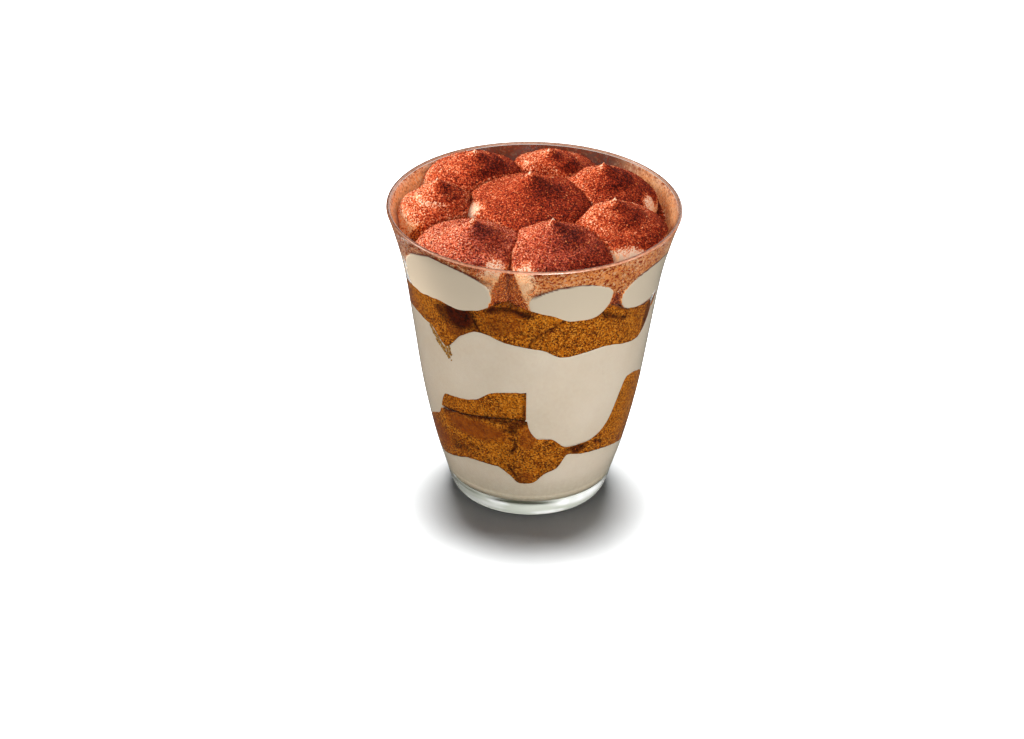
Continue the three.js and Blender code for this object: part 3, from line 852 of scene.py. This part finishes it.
def finger(name, look):
    """A sponge finger, from the wall in to the core, with its porous face pressed on the glass."""
    low, high = span(name)
    angles = np.linspace(low, high, int((high - low) / COLUMN_STEP) + 1)
    full = fullness(name, angles)
    floor_edge, roof_edge, floor_middle, roof_middle = edges_of(name)
    floor, roof = surface(floor_edge, floor_middle), surface(roof_edge, roof_middle)

    def heights(share, from_top):
        return finger_height(floor(angles, share), roof(angles, share), full, from_top)

    shares = np.linspace(SPONGE_CORE, 0.985, INNER_ROWS)[:, None]
    over, under = heights(shares, 0), heights(shares[::-1], 1)
    top, bottom = heights(1, 0), heights(1, 1)
    from_top = np.linspace(0, 1, WALL_ROWS)[:, None]
    face = top + (bottom - top) * from_top
    from_edge = np.minimum(from_top, 1 - from_top) * (top - bottom)
    inward = np.clip(1 - from_edge / EDGE_ROUND, 0, 1)
    reach = inner_radius(face) + SPONGE_BITE + FINGERS[name][-1]
    reach -= EDGE_ROUND * (1 - np.sqrt(1 - inward * inward))
    if name == "sponge_upper_back_right":
        swell = outline(UPPER_FINGERS, 1)(angles) - OVERLAP
        reach -= SMEAR_DEPTH * smooth_step(swell - face, *SMEAR_SOFTNESS)
    # Pits and creases are pressed into the face, away from its edges.
    pits = np.clip(crags(on_wall(angles, face, reach), 1.3, 31, 2) - 0.15, 0, 1)
    relief = PIT_DEPTH * pits + CREASE_DEPTH * strokes(angles, face, CREASES)
    reach -= smooth_step(from_edge, 0.8, 1.6) * np.minimum(relief, DEEPEST)
    height = np.concatenate([over, face, under])
    reach = [shares * inner_radius(over), reach, shares[::-1] * inner_radius(under)]
    grid = on_wall(angles, height, np.concatenate(reach))
    points, faces = closed_round(grid, grid[:, 0].mean(0), grid[:, -1].mean(0))
    paint = sponge_paint(points)
    # Its edges at the glass are painted darker here and there, as shade.
    rim = np.pad(1 - smooth_step(from_edge, 0.1, 1.0), ((INNER_ROWS, INNER_ROWS), (0, 0)))
    rim = np.append(rim.ravel(), [0, 0]) * np.clip(0.45 + 0.5 * crags(points, 3.0, 48), 0, 0.8)
    paint["soaked"] = np.maximum(paint["soaked"], rim)
    make_piece(f"{name}_crumb", points, faces, look, [name], paint=paint)


def sponge_paint(points):
    """Where the sponge is wet, gold-coloured and dark, with wavering edges: deep wet crumb, painted shade
    in its hollows and broken creases, and a painted pool of light at the right.
    """
    angle = angle_of(points) + 1.2 * crags(points, 4.0, 41)
    height = points[:, 2] + 0.7 * crags(points, 3.0, 44)
    broken = np.clip(0.85 + 0.6 * crags(points, 2.0, 49), 0.35, 1)
    unevenly = np.clip(crags(points, 7.0, 47), 0, 1) * 0.35
    marked = np.maximum(places(angle, height, SOAKED_AND_SHADED_PLACES), broken * strokes(angle, height, CREASES))
    return {
        "soaked": np.clip(np.maximum(marked, unevenly), 0, 1),
        "wet": places(angle, height, WET_PLACES),
        "golden_and_lit": places(angle, height, GOLDEN_AND_LIT_PLACES),
    }


# ---- Cream layers ----
def outline(names, from_top):
    """Top or underside of a row of fingers at the wall, as cream that runs on behind them meets it."""
    angles = np.arange(-180, 180, 0.5)
    pick, back = (np.minimum, np.maximum) if from_top else (np.maximum, np.minimum)
    heights = np.full(len(angles), np.inf if from_top else -np.inf)
    for name in names:
        floor_edge, roof_edge, _, _ = edges_of(name)
        bottom, top = floor_edge(angles), roof_edge(angles)
        low, high = span(name)
        for here in (angles, angles + 360):
            drawn = finger_height(bottom, top, fullness(name, here), from_top)
            heights = np.where((here >= low) & (here <= high), pick(heights, drawn), heights)
    known = np.isfinite(heights)
    heights = np.interp(angles, angles[known], heights[known])
    # Cream keeps behind the outline on both sides of a step, too.
    heights = back(back(np.roll(heights, 2), np.roll(heights, -2)), heights)
    heights = heights + (OVERLAP if from_top else -OVERLAP)
    if names == UPPER_FINGERS:
        rise_from, rise_to, fall_from, fall_to = SMEAR
        smear = smooth_step(angles, rise_from, rise_to) * (1 - smooth_step(angles, fall_from, fall_to))
        heights = heights + (SMEAR_TOP - heights) * smear
    return smooth_curve(np.column_stack([angles, heights]), 360)


def cream_layer(name, floor, roof, look, floor_rows):
    """Cream that fills the whole round between two surfaces."""
    angles = np.arange(-180, 180, COLUMN_STEP)[:, None]
    shares = np.linspace(0, 0.99, 12)[1:]
    top, bottom = roof(angles, 1.0), floor(angles, 1.0)
    over, wall = roof(angles, shares), top + (bottom - top) * np.linspace(0, 1, 34)
    if floor_rows:
        under, under_reach = (np.tile(part, (len(angles), 1)) for part in zip(*floor_rows))
    else:
        under = floor(angles, shares[::-1])
        under_reach = shares[::-1] * inner_radius(under)
    heights = np.concatenate([over, wall, under], 1)
    reaches = [shares * inner_radius(over), inner_radius(wall) + CREAM_BITE, under_reach]
    grid = on_wall(angles, heights, np.concatenate(reaches, 1))
    start, end = [0, 0, float(roof(0.0, 0.0))], [0, 0, float(floor(0.0, 0.0))]
    points, faces = closed_round(grid, start, end)
    make_piece(f"{name}_fill", points, faces, look, [name])


def cream_layers(look):
    corner_rows = [(height - CREAM_BITE, inner_radius(height) + CREAM_BITE) for height in CORNER_HEIGHTS]
    corner_rows += [(BASE - CREAM_BITE, reach) for reach in np.linspace(inner_radius(BASE), 0, 9)[1:-1]]
    cream_layer(
        "cream_bottom",
        lambda angle, share: np.full(np.shape(angle), CORNER_TOP if share else BASE - CREAM_BITE),
        surface(outline(LOWER_FINGERS, 1), LOWER_FLOOR_MIDDLE),
        look,
        corner_rows,
    )
    cream_layer(
        "cream_middle",
        surface(outline(LOWER_FINGERS, 0), LOWER_ROOF_MIDDLE),
        surface(outline(UPPER_FINGERS, 1), UPPER_FLOOR_MIDDLE),
        look,
        [],
    )


# ---- Dollops ----
# Points round a dollop and along it.
TURNS = 240
RINGS = 106
# How widely dollops are rounded where they meet, low down at the glass and higher up, and the heights
# between which that changes.
CREASE_SOFTNESS = (0.28, 0.7)
CREASE_HEIGHTS = (89, 94)
MEETING_GAP = 0.04
CREASE_WAVER = 0.8
BODY_WAVER = 0.03
# Less than this share of a direction towards a neighbour counts as none.
BARELY_FACING = 1e-3
THINNEST = 0.05
FAR = 1e3
# How much the lower half of an oval is stretched down, behind the sponge's edge.
LOWER_HALF = 1.3
# How far a dollop stands off the glass outside its oval, and how far it swells to touch it inside.
LIFT = 2.2
PRESS = 3.6
# How thick the cocoa lies on flanks and at an oval's edge, where full is 1, and the most there is.
FLANK_DUST = 0.27
SLID_DUST = 0.2
MOST_DUST = 1.35
# Painted light and shade: the share of cocoa lost on slopes that face the key lamp at the left back, and
# gained on slopes that turn from it.
KEY_LIGHT_SIDE = (-0.85, 0.5)
LIGHTER_TOWARDS_KEY = 0.42
DARKER_AWAY_FROM_KEY = 0.75
# How thickly some dollops are dusted next to the others. This also paints light: the left dollop, lit most
# by the key lamp, is paler.
DUSTING_AND_PAINTED_LIGHT = {
    "dollop_left": 0.82, "dollop_front_right": 0.88, "dollop_front_left": 0.9, "dollop_back": 0.89,
    "dollop_middle": 1.1, "dollop_back_left": 1.03, "dollop_back_right": 1.03,
}
# How strong a painted sheen of pale lilac specks is on some dollops.
PAINTED_SHEEN = {"dollop_front_left": 0.2, "dollop_front": 0.12}
# Radii between which a dollop counts as near the wall, and distances from the wall as off it.
NEAR_WALL = (33.0, 38.0)
OFF_WALL = (0.03, 0.3)
# Cocoa and painted shade between two dollops at the glass: how fast the wedge widens downwards, where it
# starts, and its least and greatest width. Further in, it has one width.
WEDGE_SLOPE = 0.52
WEDGE_TOP = 95.5
WEDGE_WIDTHS = (0.2, 6.5)
CREASE_WIDTH = 1.2
# A tip has painted shade on its right, and is bare in two steps, as (from, to, share lost) below its end.
TIP_PAINTED_SHADE = 0.24
BARE_TIP = [(2.4, 1.4, 0.25), (1.4, 0.6, 0.75)]


def dollop_profile(radius, dome, top):
    """[reach, height] along a dollop from under its foot to its tip, evenly spaced."""
    def bulge(share):
        return share ** (2 / DOME_POWER)

    turns = np.radians([0, 11, 22, 31, 40, 48, 55, 61, 67])
    climbs = np.array([0, 0.25, 0.5, 0.75, 0.93])
    kiss_foot = FULLEST_HEIGHT + dome + KISS_RISE
    seat = [UPPER_ROOF_MIDDLE - 6, UPPER_ROOF_MIDDLE - 2, (FULLEST_HEIGHT + UPPER_ROOF_MIDDLE) / 2]
    parts = [
        (radius * np.array([0.3, SEAT_WIDTH, LOW_RING_WIDTH]), seat),
        (radius * bulge(np.cos(turns)), FULLEST_HEIGHT + dome * bulge(np.sin(turns))),
        (KISS_FOOT_RADIUS * (1 - climbs) ** KISS_POWER, kiss_foot + (top - kiss_foot) * climbs),
    ]
    reach, height = (np.concatenate(part) for part in zip(*parts))
    along = np.concatenate([[0], np.cumsum(np.hypot(np.diff(reach), np.diff(height)))])
    even = np.linspace(0, along[-1], RINGS)
    across = smooth_curve(np.column_stack([along, reach]))(even)
    return across, smooth_curve(np.column_stack([along, height]))(even)


def soft_least(first, second, softness):
    """The lesser of two lengths, rounded where they cross."""
    return -softness * np.logaddexp(-first / softness, -second / softness)


def out_of_oval(name, spots):
    """How far spots on the glass lie from the middle of a dollop's oval, and how high above it. The
    first is 1 on the oval's edge, and the second is 1 at its top."""
    if name not in OVALS:
        return np.ones(spots.shape[:2]), np.zeros(spots.shape[:2])
    middle, level, width, depth, sink, wide_left, wide_right = OVALS[name]
    turn = wrapped(angle_of(spots) - middle)
    rise = spots[..., 2] - level - sink * np.minimum(turn, 0)
    wide = np.where(turn < 0, wide_left, wide_right)
    turn, rise = np.where(rise < 0, [turn / wide, rise / LOWER_HALF], [turn, rise])
    off = np.hypot(turn / width, rise / depth)
    return off + 0.05 * crags(spots, 5.0, 73, 2), rise / depth


def neighbours(name, middles):
    """A dollop's neighbours: the name, the direction to it and how far off their meeting plane is."""
    for other, middle in middles.items():
        if other != name:
            apart = middle - middles[name]
            distance = np.hypot(*apart)
            power = DOLLOPS[name]["radius"] ** 2 - DOLLOPS[other]["radius"] ** 2
            yield other, apart / distance, (distance**2 + power) / (2 * distance)


def plane_distance(name, middles, points):
    """How far points of a dollop are from the nearest plane where it meets a neighbour."""
    plan = points[:, :2] - middles[name]
    gaps = [meeting - plan @ towards for _, towards, meeting in neighbours(name, middles)]
    return np.maximum(np.min(gaps, axis=0), 0)


def room_beside(name, middles, axis, direction, height):
    """How far a dollop can spread in each direction and at each height before it meets a neighbour."""
    room = np.full((len(direction), len(height)), FAR)
    for other, towards, meeting in neighbours(name, middles):
        facing = (direction @ towards)[:, None]
        free = meeting - (axis - middles[name]) @ towards - MEETING_GAP
        free = free / np.maximum(facing, BARELY_FACING)
        # The crease between two neighbours wavers, by the same amount for both.
        reach = np.minimum(free, DOLLOPS[name]["radius"])
        spots = at_heights(axis + reach[..., None] * direction[:, None], height)
        side = 1 if name < other else -1
        free = free + side * CREASE_WAVER * lumps(spots, 6.0, 55) / np.maximum(facing, 0.3)
        room = np.where(facing > BARELY_FACING, np.minimum(room, free), room)
    return room


def dollop(name, middles, look):
    """A round body on its seat, a dome and a pointed kiss, dusted from above."""
    kind, own = DOLLOPS[name], middles[name]
    tip_angle, tip_reach, top = kind["tip"]
    tip = plan_point(tip_angle, tip_reach)
    across, height = dollop_profile(kind["radius"], kind["dome"], top)
    # A bearing of 0 looks to the front, as angles round the tumbler do.
    bearings = np.arange(TURNS)[:, None] * 360 / TURNS
    direction = on_wall(bearings[:, 0], 0.0, 1.0)[:, :2]
    climb = np.clip(height - FULLEST_HEIGHT, 0, None) / (top - FULLEST_HEIGHT)
    axis = own + (tip - own) * climb[:, None]
    wobble = crags(on_wall(bearings, height, across) + np.append(own, 0), 9.0, 51, 2)
    along = direction @ axis.T
    wall = inner_radius(np.clip(height, UPPER_ROOF_MIDDLE - 3, CUP_HEIGHT - WALL)) + CREAM_BITE
    to_wall = -along + np.sqrt(along**2 - (axis**2).sum(1) + wall**2)
    off, above = out_of_oval(name, at_heights(axis + direction[:, None] * to_wall[..., None], height))
    body = across * (1 + BODY_WAVER * wobble) + PRESS * np.clip((1 - off) / 0.15, 0, 1)
    soft_low, soft_high = CREASE_SOFTNESS
    softness = soft_low + (soft_high - soft_low) * smooth_step(height, *CREASE_HEIGHTS)
    spread = soft_least(body, room_beside(name, middles, axis, direction, height), softness)
    spread = np.minimum(spread, to_wall - LIFT * np.clip(off - 1, 0, 0.6) ** 1.1)
    spread = np.maximum(spread, THINNEST)
    grid = at_heights(axis + direction[:, None] * spread[..., None], height)
    points, faces = closed_round(grid, np.append(own, height[0]), np.append(tip, top))
    piece = make_piece(name + "_piped", points, faces, look, [name])

    # The two points that close it are far from the glass.
    normals = triples(piece.data.vertex_normals, "vector")
    off_wall = smooth_step(np.append((to_wall - spread).ravel(), [FAR, FAR]), *OFF_WALL)
    off, above = np.append(off.ravel(), [FAR, FAR]), np.append(above.ravel(), [0, 0])
    paint = dusting(name, middles, points, normals, off_wall, off, above)
    paint_points(piece.data, paint)
    # The dusting's own relief, and the body's soft unevenness, inside the tumbler's wall.
    crust = 0.13 * crags(points, 1.3, 61, 2) + 0.12 * lumps(points, 0.7, 63)
    rise = crust * paint["dust_and_shading"] + 0.25 * lumps(points, 5.0, 65)
    points = points + normals * (rise * off_wall)[:, None]
    held = inner_radius(np.clip(points[:, 2], CORNER_TOP, CUP_HEIGHT - WALL)) + CREAM_BITE
    points[:, :2] *= np.minimum(1, held / np.maximum(reach_of(points), 1e-6))[:, None]
    piece.data.vertices.foreach_set("co", np.ascontiguousarray(points * MM, np.float32).ravel())
    piece.data.update()
    return piece, paint["dust_and_shading"]


def dusting(name, middles, points, normals, off_wall, off, above):
    """How thick the cocoa lies at points of a dollop, with painted light and shade folded into it, and
    where it has its dark edge on the glass, its orange parts at the glass and its painted sheen of pale
    specks."""
    own, level, up = middles[name], points[:, 2], normals[:, 2]
    radius, top = DOLLOPS[name]["radius"], DOLLOPS[name]["tip"][2]
    near_wall = smooth_step(reach_of(points), *NEAR_WALL)
    # Powder lies thick on what faces up, and thinly on the flanks.
    dust_and_shading = FLANK_DUST + (1 - FLANK_DUST) * smooth_step(up, 0.15, 0.75)
    # Painted light and shade: thinner, paler cocoa towards the key lamp, thicker and darker on the other
    # side.
    facing_key = normals[:, :2] @ KEY_LIGHT_SIDE * smooth_step(up, 0.2, 0.5)
    dust_and_shading = dust_and_shading * (1 - np.where(facing_key > 0, LIGHTER_TOWARDS_KEY, DARKER_AWAY_FROM_KEY) * facing_key)
    dust_and_shading = np.minimum(dust_and_shading * DUSTING_AND_PAINTED_LIGHT.get(name, 1.0), MOST_DUST)
    pale = places(angle_of(points), level, PALE_PLACES) * near_wall
    # Between two dollops it lies thick and dark, in a wedge that widens downwards at the glass: cocoa in
    # the crease, and painted shade where the crease lies deep.
    wedge = np.clip(WEDGE_SLOPE * (WEDGE_TOP - level), *WEDGE_WIDTHS)
    wedge = wedge * near_wall + CREASE_WIDTH * (1 - near_wall)
    creased = plane_distance(name, middles, points) + 0.5 * crags(points, 2.0, 75)
    near_crease = 1 - smooth_step(creased / wedge, 0.85, 1.15)
    dust_and_shading = np.maximum(dust_and_shading * (1 - pale), (0.85 + 0.03 * near_wall) * near_crease) * off_wall
    for bearing, height, size in BARE_PLACES.get(name, []):
        spot = own + radius * 0.86 * plan_point(bearing, 1.0)
        apart = np.hypot(np.hypot(*(points[:, :2] - spot).T), 1.2 * (level - height))
        apart = apart + 1.5 * crags(points, 2.5, 57)
        dust_and_shading = dust_and_shading * (1 - 0.85 * (1 - smooth_step(apart, 0.4 * size, size)))
    # Painted shade down the right side of each kiss, which turns from the key lamp.
    shaded_right = smooth_step(normals[:, 0] - 0.4 * normals[:, 1], 0.1, 0.6)
    dust_and_shading = dust_and_shading * (1 + TIP_PAINTED_SHADE * shaded_right * smooth_step(level, top - 7, top - 4))
    near_tip = level + 0.5 * crags(points, 1.5, 53, 2)
    for start, end, share in BARE_TIP:
        dust_and_shading = dust_and_shading * (1 - share * smooth_step(near_tip, top - start, top - end))
    # It has slid down the flank to the edge of the oval.
    over = smooth_step(above, 0.25, 0.6) * near_wall
    slid = (1 - smooth_step(off, 1.02, 1.4)) * over * off_wall
    flank = 0.8 * (1 - smooth_step(up, 0.15, 0.6))
    # A painted sheen on slopes that face up, weaker on the shaded right.
    painted_sheen = PAINTED_SHEEN.get(name, 0.0) * smooth_step(up, 0.2, 0.6)
    return {
        "dust_and_shading": dust_and_shading + SLID_DUST * slid * (1 - dust_and_shading),
        "line": smooth_step(off, 0.96, 0.99) * (1 - smooth_step(off, 1.06, 1.13)) * over,
        "wedge": np.maximum(near_crease, flank) * near_wall,
        "painted_sheen": painted_sheen * (1 - 0.7 * shaded_right),
    }


# ---- Cocoa grains ----
GRAINS = 24500
GRAIN_SIZES = (0.14, 0.36)


def octahedra(middles, sizes, rng):
    """Points and faces of small uneven grains."""
    corners = np.kron(np.eye(3), [[1], [-1]])
    sides = np.array([
        [0, 2, 4], [2, 1, 4], [1, 3, 4], [3, 0, 4], [2, 0, 5], [1, 2, 5], [3, 1, 5], [0, 3, 5],
    ])
    count = len(middles)
    spin = rng.normal(size=(count, 4))
    spin /= np.linalg.norm(spin, axis=1, keepdims=True)
    real, axis = spin[:, None, :1], spin[:, None, 1:]
    shape = corners * rng.uniform(0.6, 1.25, (count, 6, 1))
    turned = shape + 2 * np.cross(axis, np.cross(axis, shape) + real * shape)
    points = middles[:, None] + turned * sizes[:, None, None]
    faces = sides + 6 * np.arange(count)[:, None, None]
    return points.reshape(-1, 3), faces.reshape(-1, 3).tolist()


def scatter(pieces, count, rng):
    """Points on the dusted surfaces, most where the cocoa with its painted shade lies thickest, and how
    thick it is there.
    """
    corners, weights, dusts = [], [], []
    for piece, dust_and_shading in pieces:
        mesh = piece.data
        mesh.calc_loop_triangles()
        triangles = triples(mesh.loop_triangles, "vertices", np.int32)
        spots = triples(mesh.vertices, "co")[triangles] / MM
        area = np.linalg.norm(np.cross(spots[:, 1] - spots[:, 0], spots[:, 2] - spots[:, 0]), axis=1)
        here = dust_and_shading[triangles].mean(1)
        seen = spots[..., 2].mean(1) > UPPER_ROOF_MIDDLE + 2
        corners.append(spots)
        weights.append(area * np.clip(here - 0.12, 0, 1) * seen)
        dusts.append(here)
    corners, weights, dusts = (np.concatenate(part) for part in (corners, weights, dusts))
    chosen = rng.choice(len(weights), count, p=weights / weights.sum())
    mix = rng.dirichlet((1, 1, 1), count)
    return np.einsum("nk,nkj->nj", mix, corners[chosen]), dusts[chosen]


def cocoa_grains(pieces):
    rng = np.random.default_rng(5)
    spots, dusts = scatter(pieces, GRAINS, rng)
    smallest, largest = GRAIN_SIZES
    sizes = smallest + (largest - smallest) * rng.uniform(0, 1, GRAINS) ** 1.6
    points, faces = octahedra(spots, sizes, rng)
    tone = np.clip(rng.beta(1.5, 2.0, GRAINS) + 0.3 * (1 - dusts), 0, 1)
    paint = {"tone": np.repeat(tone, 6)}
    return make_piece("cocoa_grains", points, faces, grain_look(), smooth=False, paint=paint)


# ---- Crumbs on the glass ----
# Streaks of crumb below the left finger: from and to, as (angle, height).
CRUMB_STREAKS = [
    ((-56, 66), (-49, 62.5)), ((-54, 64), (-46, 60)), ((-52, 62), (-45, 58.5)),
    ((-49, 62), (-43.5, 57)), ((-46, 63), (-42.5, 56.5)), ((-43.5, 64), (-42.2, 58.5)),
]
STREAK_CRUMBS = 75


def crumbs():
    """Uneven crumbs along some streaks, pressed flat on the glass."""
    rng = np.random.default_rng(9)
    spots = []
    for (turn, level), (last_turn, last_level) in CRUMB_STREAKS:
        share = rng.beta(1.0, 1.2, STREAK_CRUMBS)
        angle = turn + (last_turn - turn) * share + rng.normal(0, 0.3, STREAK_CRUMBS)
        height = level + (last_level - level) * share + rng.normal(0, 0.2, STREAK_CRUMBS)
        spots.append(on_wall(angle, height, inner_radius(height) + 0.12))
    spots = np.concatenate(spots)
    sizes = rng.uniform(0.2, 0.62, len(spots)) ** 1.2
    points, faces = octahedra(spots, sizes, rng)
    middles = np.repeat(spots, 6, 0)
    out = middles * [1, 1, 0] / reach_of(middles)[:, None]
    points = points - 0.7 * out * ((points - middles) * out).sum(1)[:, None]
    make_piece("sponge_crumbs", points, faces, crumb_look(), smooth=False)


# ---- Surroundings ----
# The tumbler's foot is this far above the floor, so that their flat faces don't coincide.
FLOOR_DROP = 0.02
FLOOR_HALF = 3000.0


def floor():
    """A plain floor. It is lit so brightly that only its shadow shows, so it lights nothing itself."""
    sides = [(-1, -1), (1, -1), (1, 1), (-1, 1)]
    corners = np.array([(x * FLOOR_HALF, y * FLOOR_HALF, -FLOOR_DROP) for x, y in sides])
    piece = add_mesh("floor", corners, [(0, 1, 2, 3)], floor_look(), smooth=False)
    piece.visible_diffuse = piece.visible_glossy = piece.visible_transmission = False
    return piece


# Each lamp: where it stands, what it is aimed at, its size, its power, its colour and what it lights.
# Metres and watts.
LAMPS = {
    "overhead": ((-0.005, 0.16, 1.0), (0, 0, 0), 0.56, 66.0, "fffaf2", "floor"),
    "key": ((-0.62, 0.34, 0.46), (0, 0, 0.08), 0.20, 8.6, "fff8f2", "tops"),
    "side": ((-0.62, 0.10, 0.45), (0, 0, 0.08), 0.30, 3.6, "fff8f2", "food"),
    "top": ((0.05, -0.15, 0.9), (0, 0, 0.08), 0.5, 1.5, "ffffff", "food"),
    "front": ((0.28, -1.0, 0.52), (0, 0, 0.05), 1.1, 13.0, "ffffff", "food"),
    "behind": ((0.35, 1.0, 0.35), (0, 0, 0.05), 1.0, 4.0, "ffffff", "food"),
    "left": ((-0.85, -0.4, 0.25), (0, 0, 0.06), 0.4, 1.3, "ffffff", "food"),
    "right": ((0.85, -0.22, 0.25), (0, 0, 0.06), 0.4, 2.2, "ffffff", "food"),
    "low": ((0.25, -0.8, 0.06), (0, 0, 0.0), 0.4, 17.0, "ffffff", "glass"),
}
WORLD_STRENGTH = 0.12


def lights(lit):
    """Plain soft lamps, each for some of the objects only, and a white world."""
    groups = {name: bpy.data.collections.new(name) for name in lit}
    for name, members in lit.items():
        for member in members:
            groups[name].objects.link(member)
    for name, (place, aim, size, power, code, target) in LAMPS.items():
        lamp = bpy.data.lights.new(name, "AREA")
        lamp.shape = "DISK"
        lamp.size = size
        lamp.energy = power
        lamp.color = colour(code)[:3]
        stand = add_object(name, lamp)
        stand.location = place
        stand.rotation_euler = (Vector(aim) - Vector(place)).to_track_quat("-Z", "Y").to_euler()
        stand.light_linking.receiver_collection = groups[target]
    world = bpy.data.worlds.new("studio")
    nodes = Nodes(world)
    through_glass = nodes.node("LightPath", "Is Transmission Ray")
    seen = nodes.node("LightPath", "Is Camera Ray").math("MAXIMUM", through_glass)
    background = nodes.tree.nodes["Background"]
    nodes.feed(background.inputs["Color"], "ffffff")
    nodes.feed(background.inputs["Strength"], seen.rescale(0.0, 1.0, WORLD_STRENGTH, 1.0))
    bpy.context.scene.world = world
    bpy.context.scene.view_settings.view_transform = "Standard"


def camera():
    """The photo's own viewpoint."""
    lens = bpy.data.cameras.new("camera")
    lens.lens = CAMERA_LENS
    lens.shift_x, lens.shift_y = CAMERA_SHIFT
    lens.clip_start, lens.clip_end = 0.05, 20
    stand = add_object("camera", lens)
    rise = math.radians(CAMERA_ELEVATION)
    back = Vector((0, -math.cos(rise), math.sin(rise)))
    stand.location = Vector((0, 0, CAMERA_TARGET_HEIGHT * MM)) + back * CAMERA_DISTANCE * MM
    stand.rotation_mode = "QUATERNION"
    roll = Quaternion((0, 0, 1), math.radians(CAMERA_ROLL))
    stand.rotation_quaternion = (-back).to_track_quat("-Z", "Y") @ roll
    bpy.context.scene.camera = stand


# ---- The whole ----
camera()
ground = floor()
cup = tumbler()
film()
cream_layers(cream_look())
sponge = sponge_look()
for name in FINGERS:
    finger(name, sponge)
dusted = dusted_look()
middles = {name: plan_point(*kind["foot"]) for name, kind in DOLLOPS.items()}
piped = [dollop(name, middles, dusted) for name in DOLLOPS]
grains = cocoa_grains(piped)
crumbs()
tops = [grains] + [piece for piece, _ in piped]
food = [thing for thing in bpy.context.scene.objects if thing.type == "MESH" and thing != ground]
lights({"floor": [ground], "food": food, "tops": tops, "glass": [cup]})
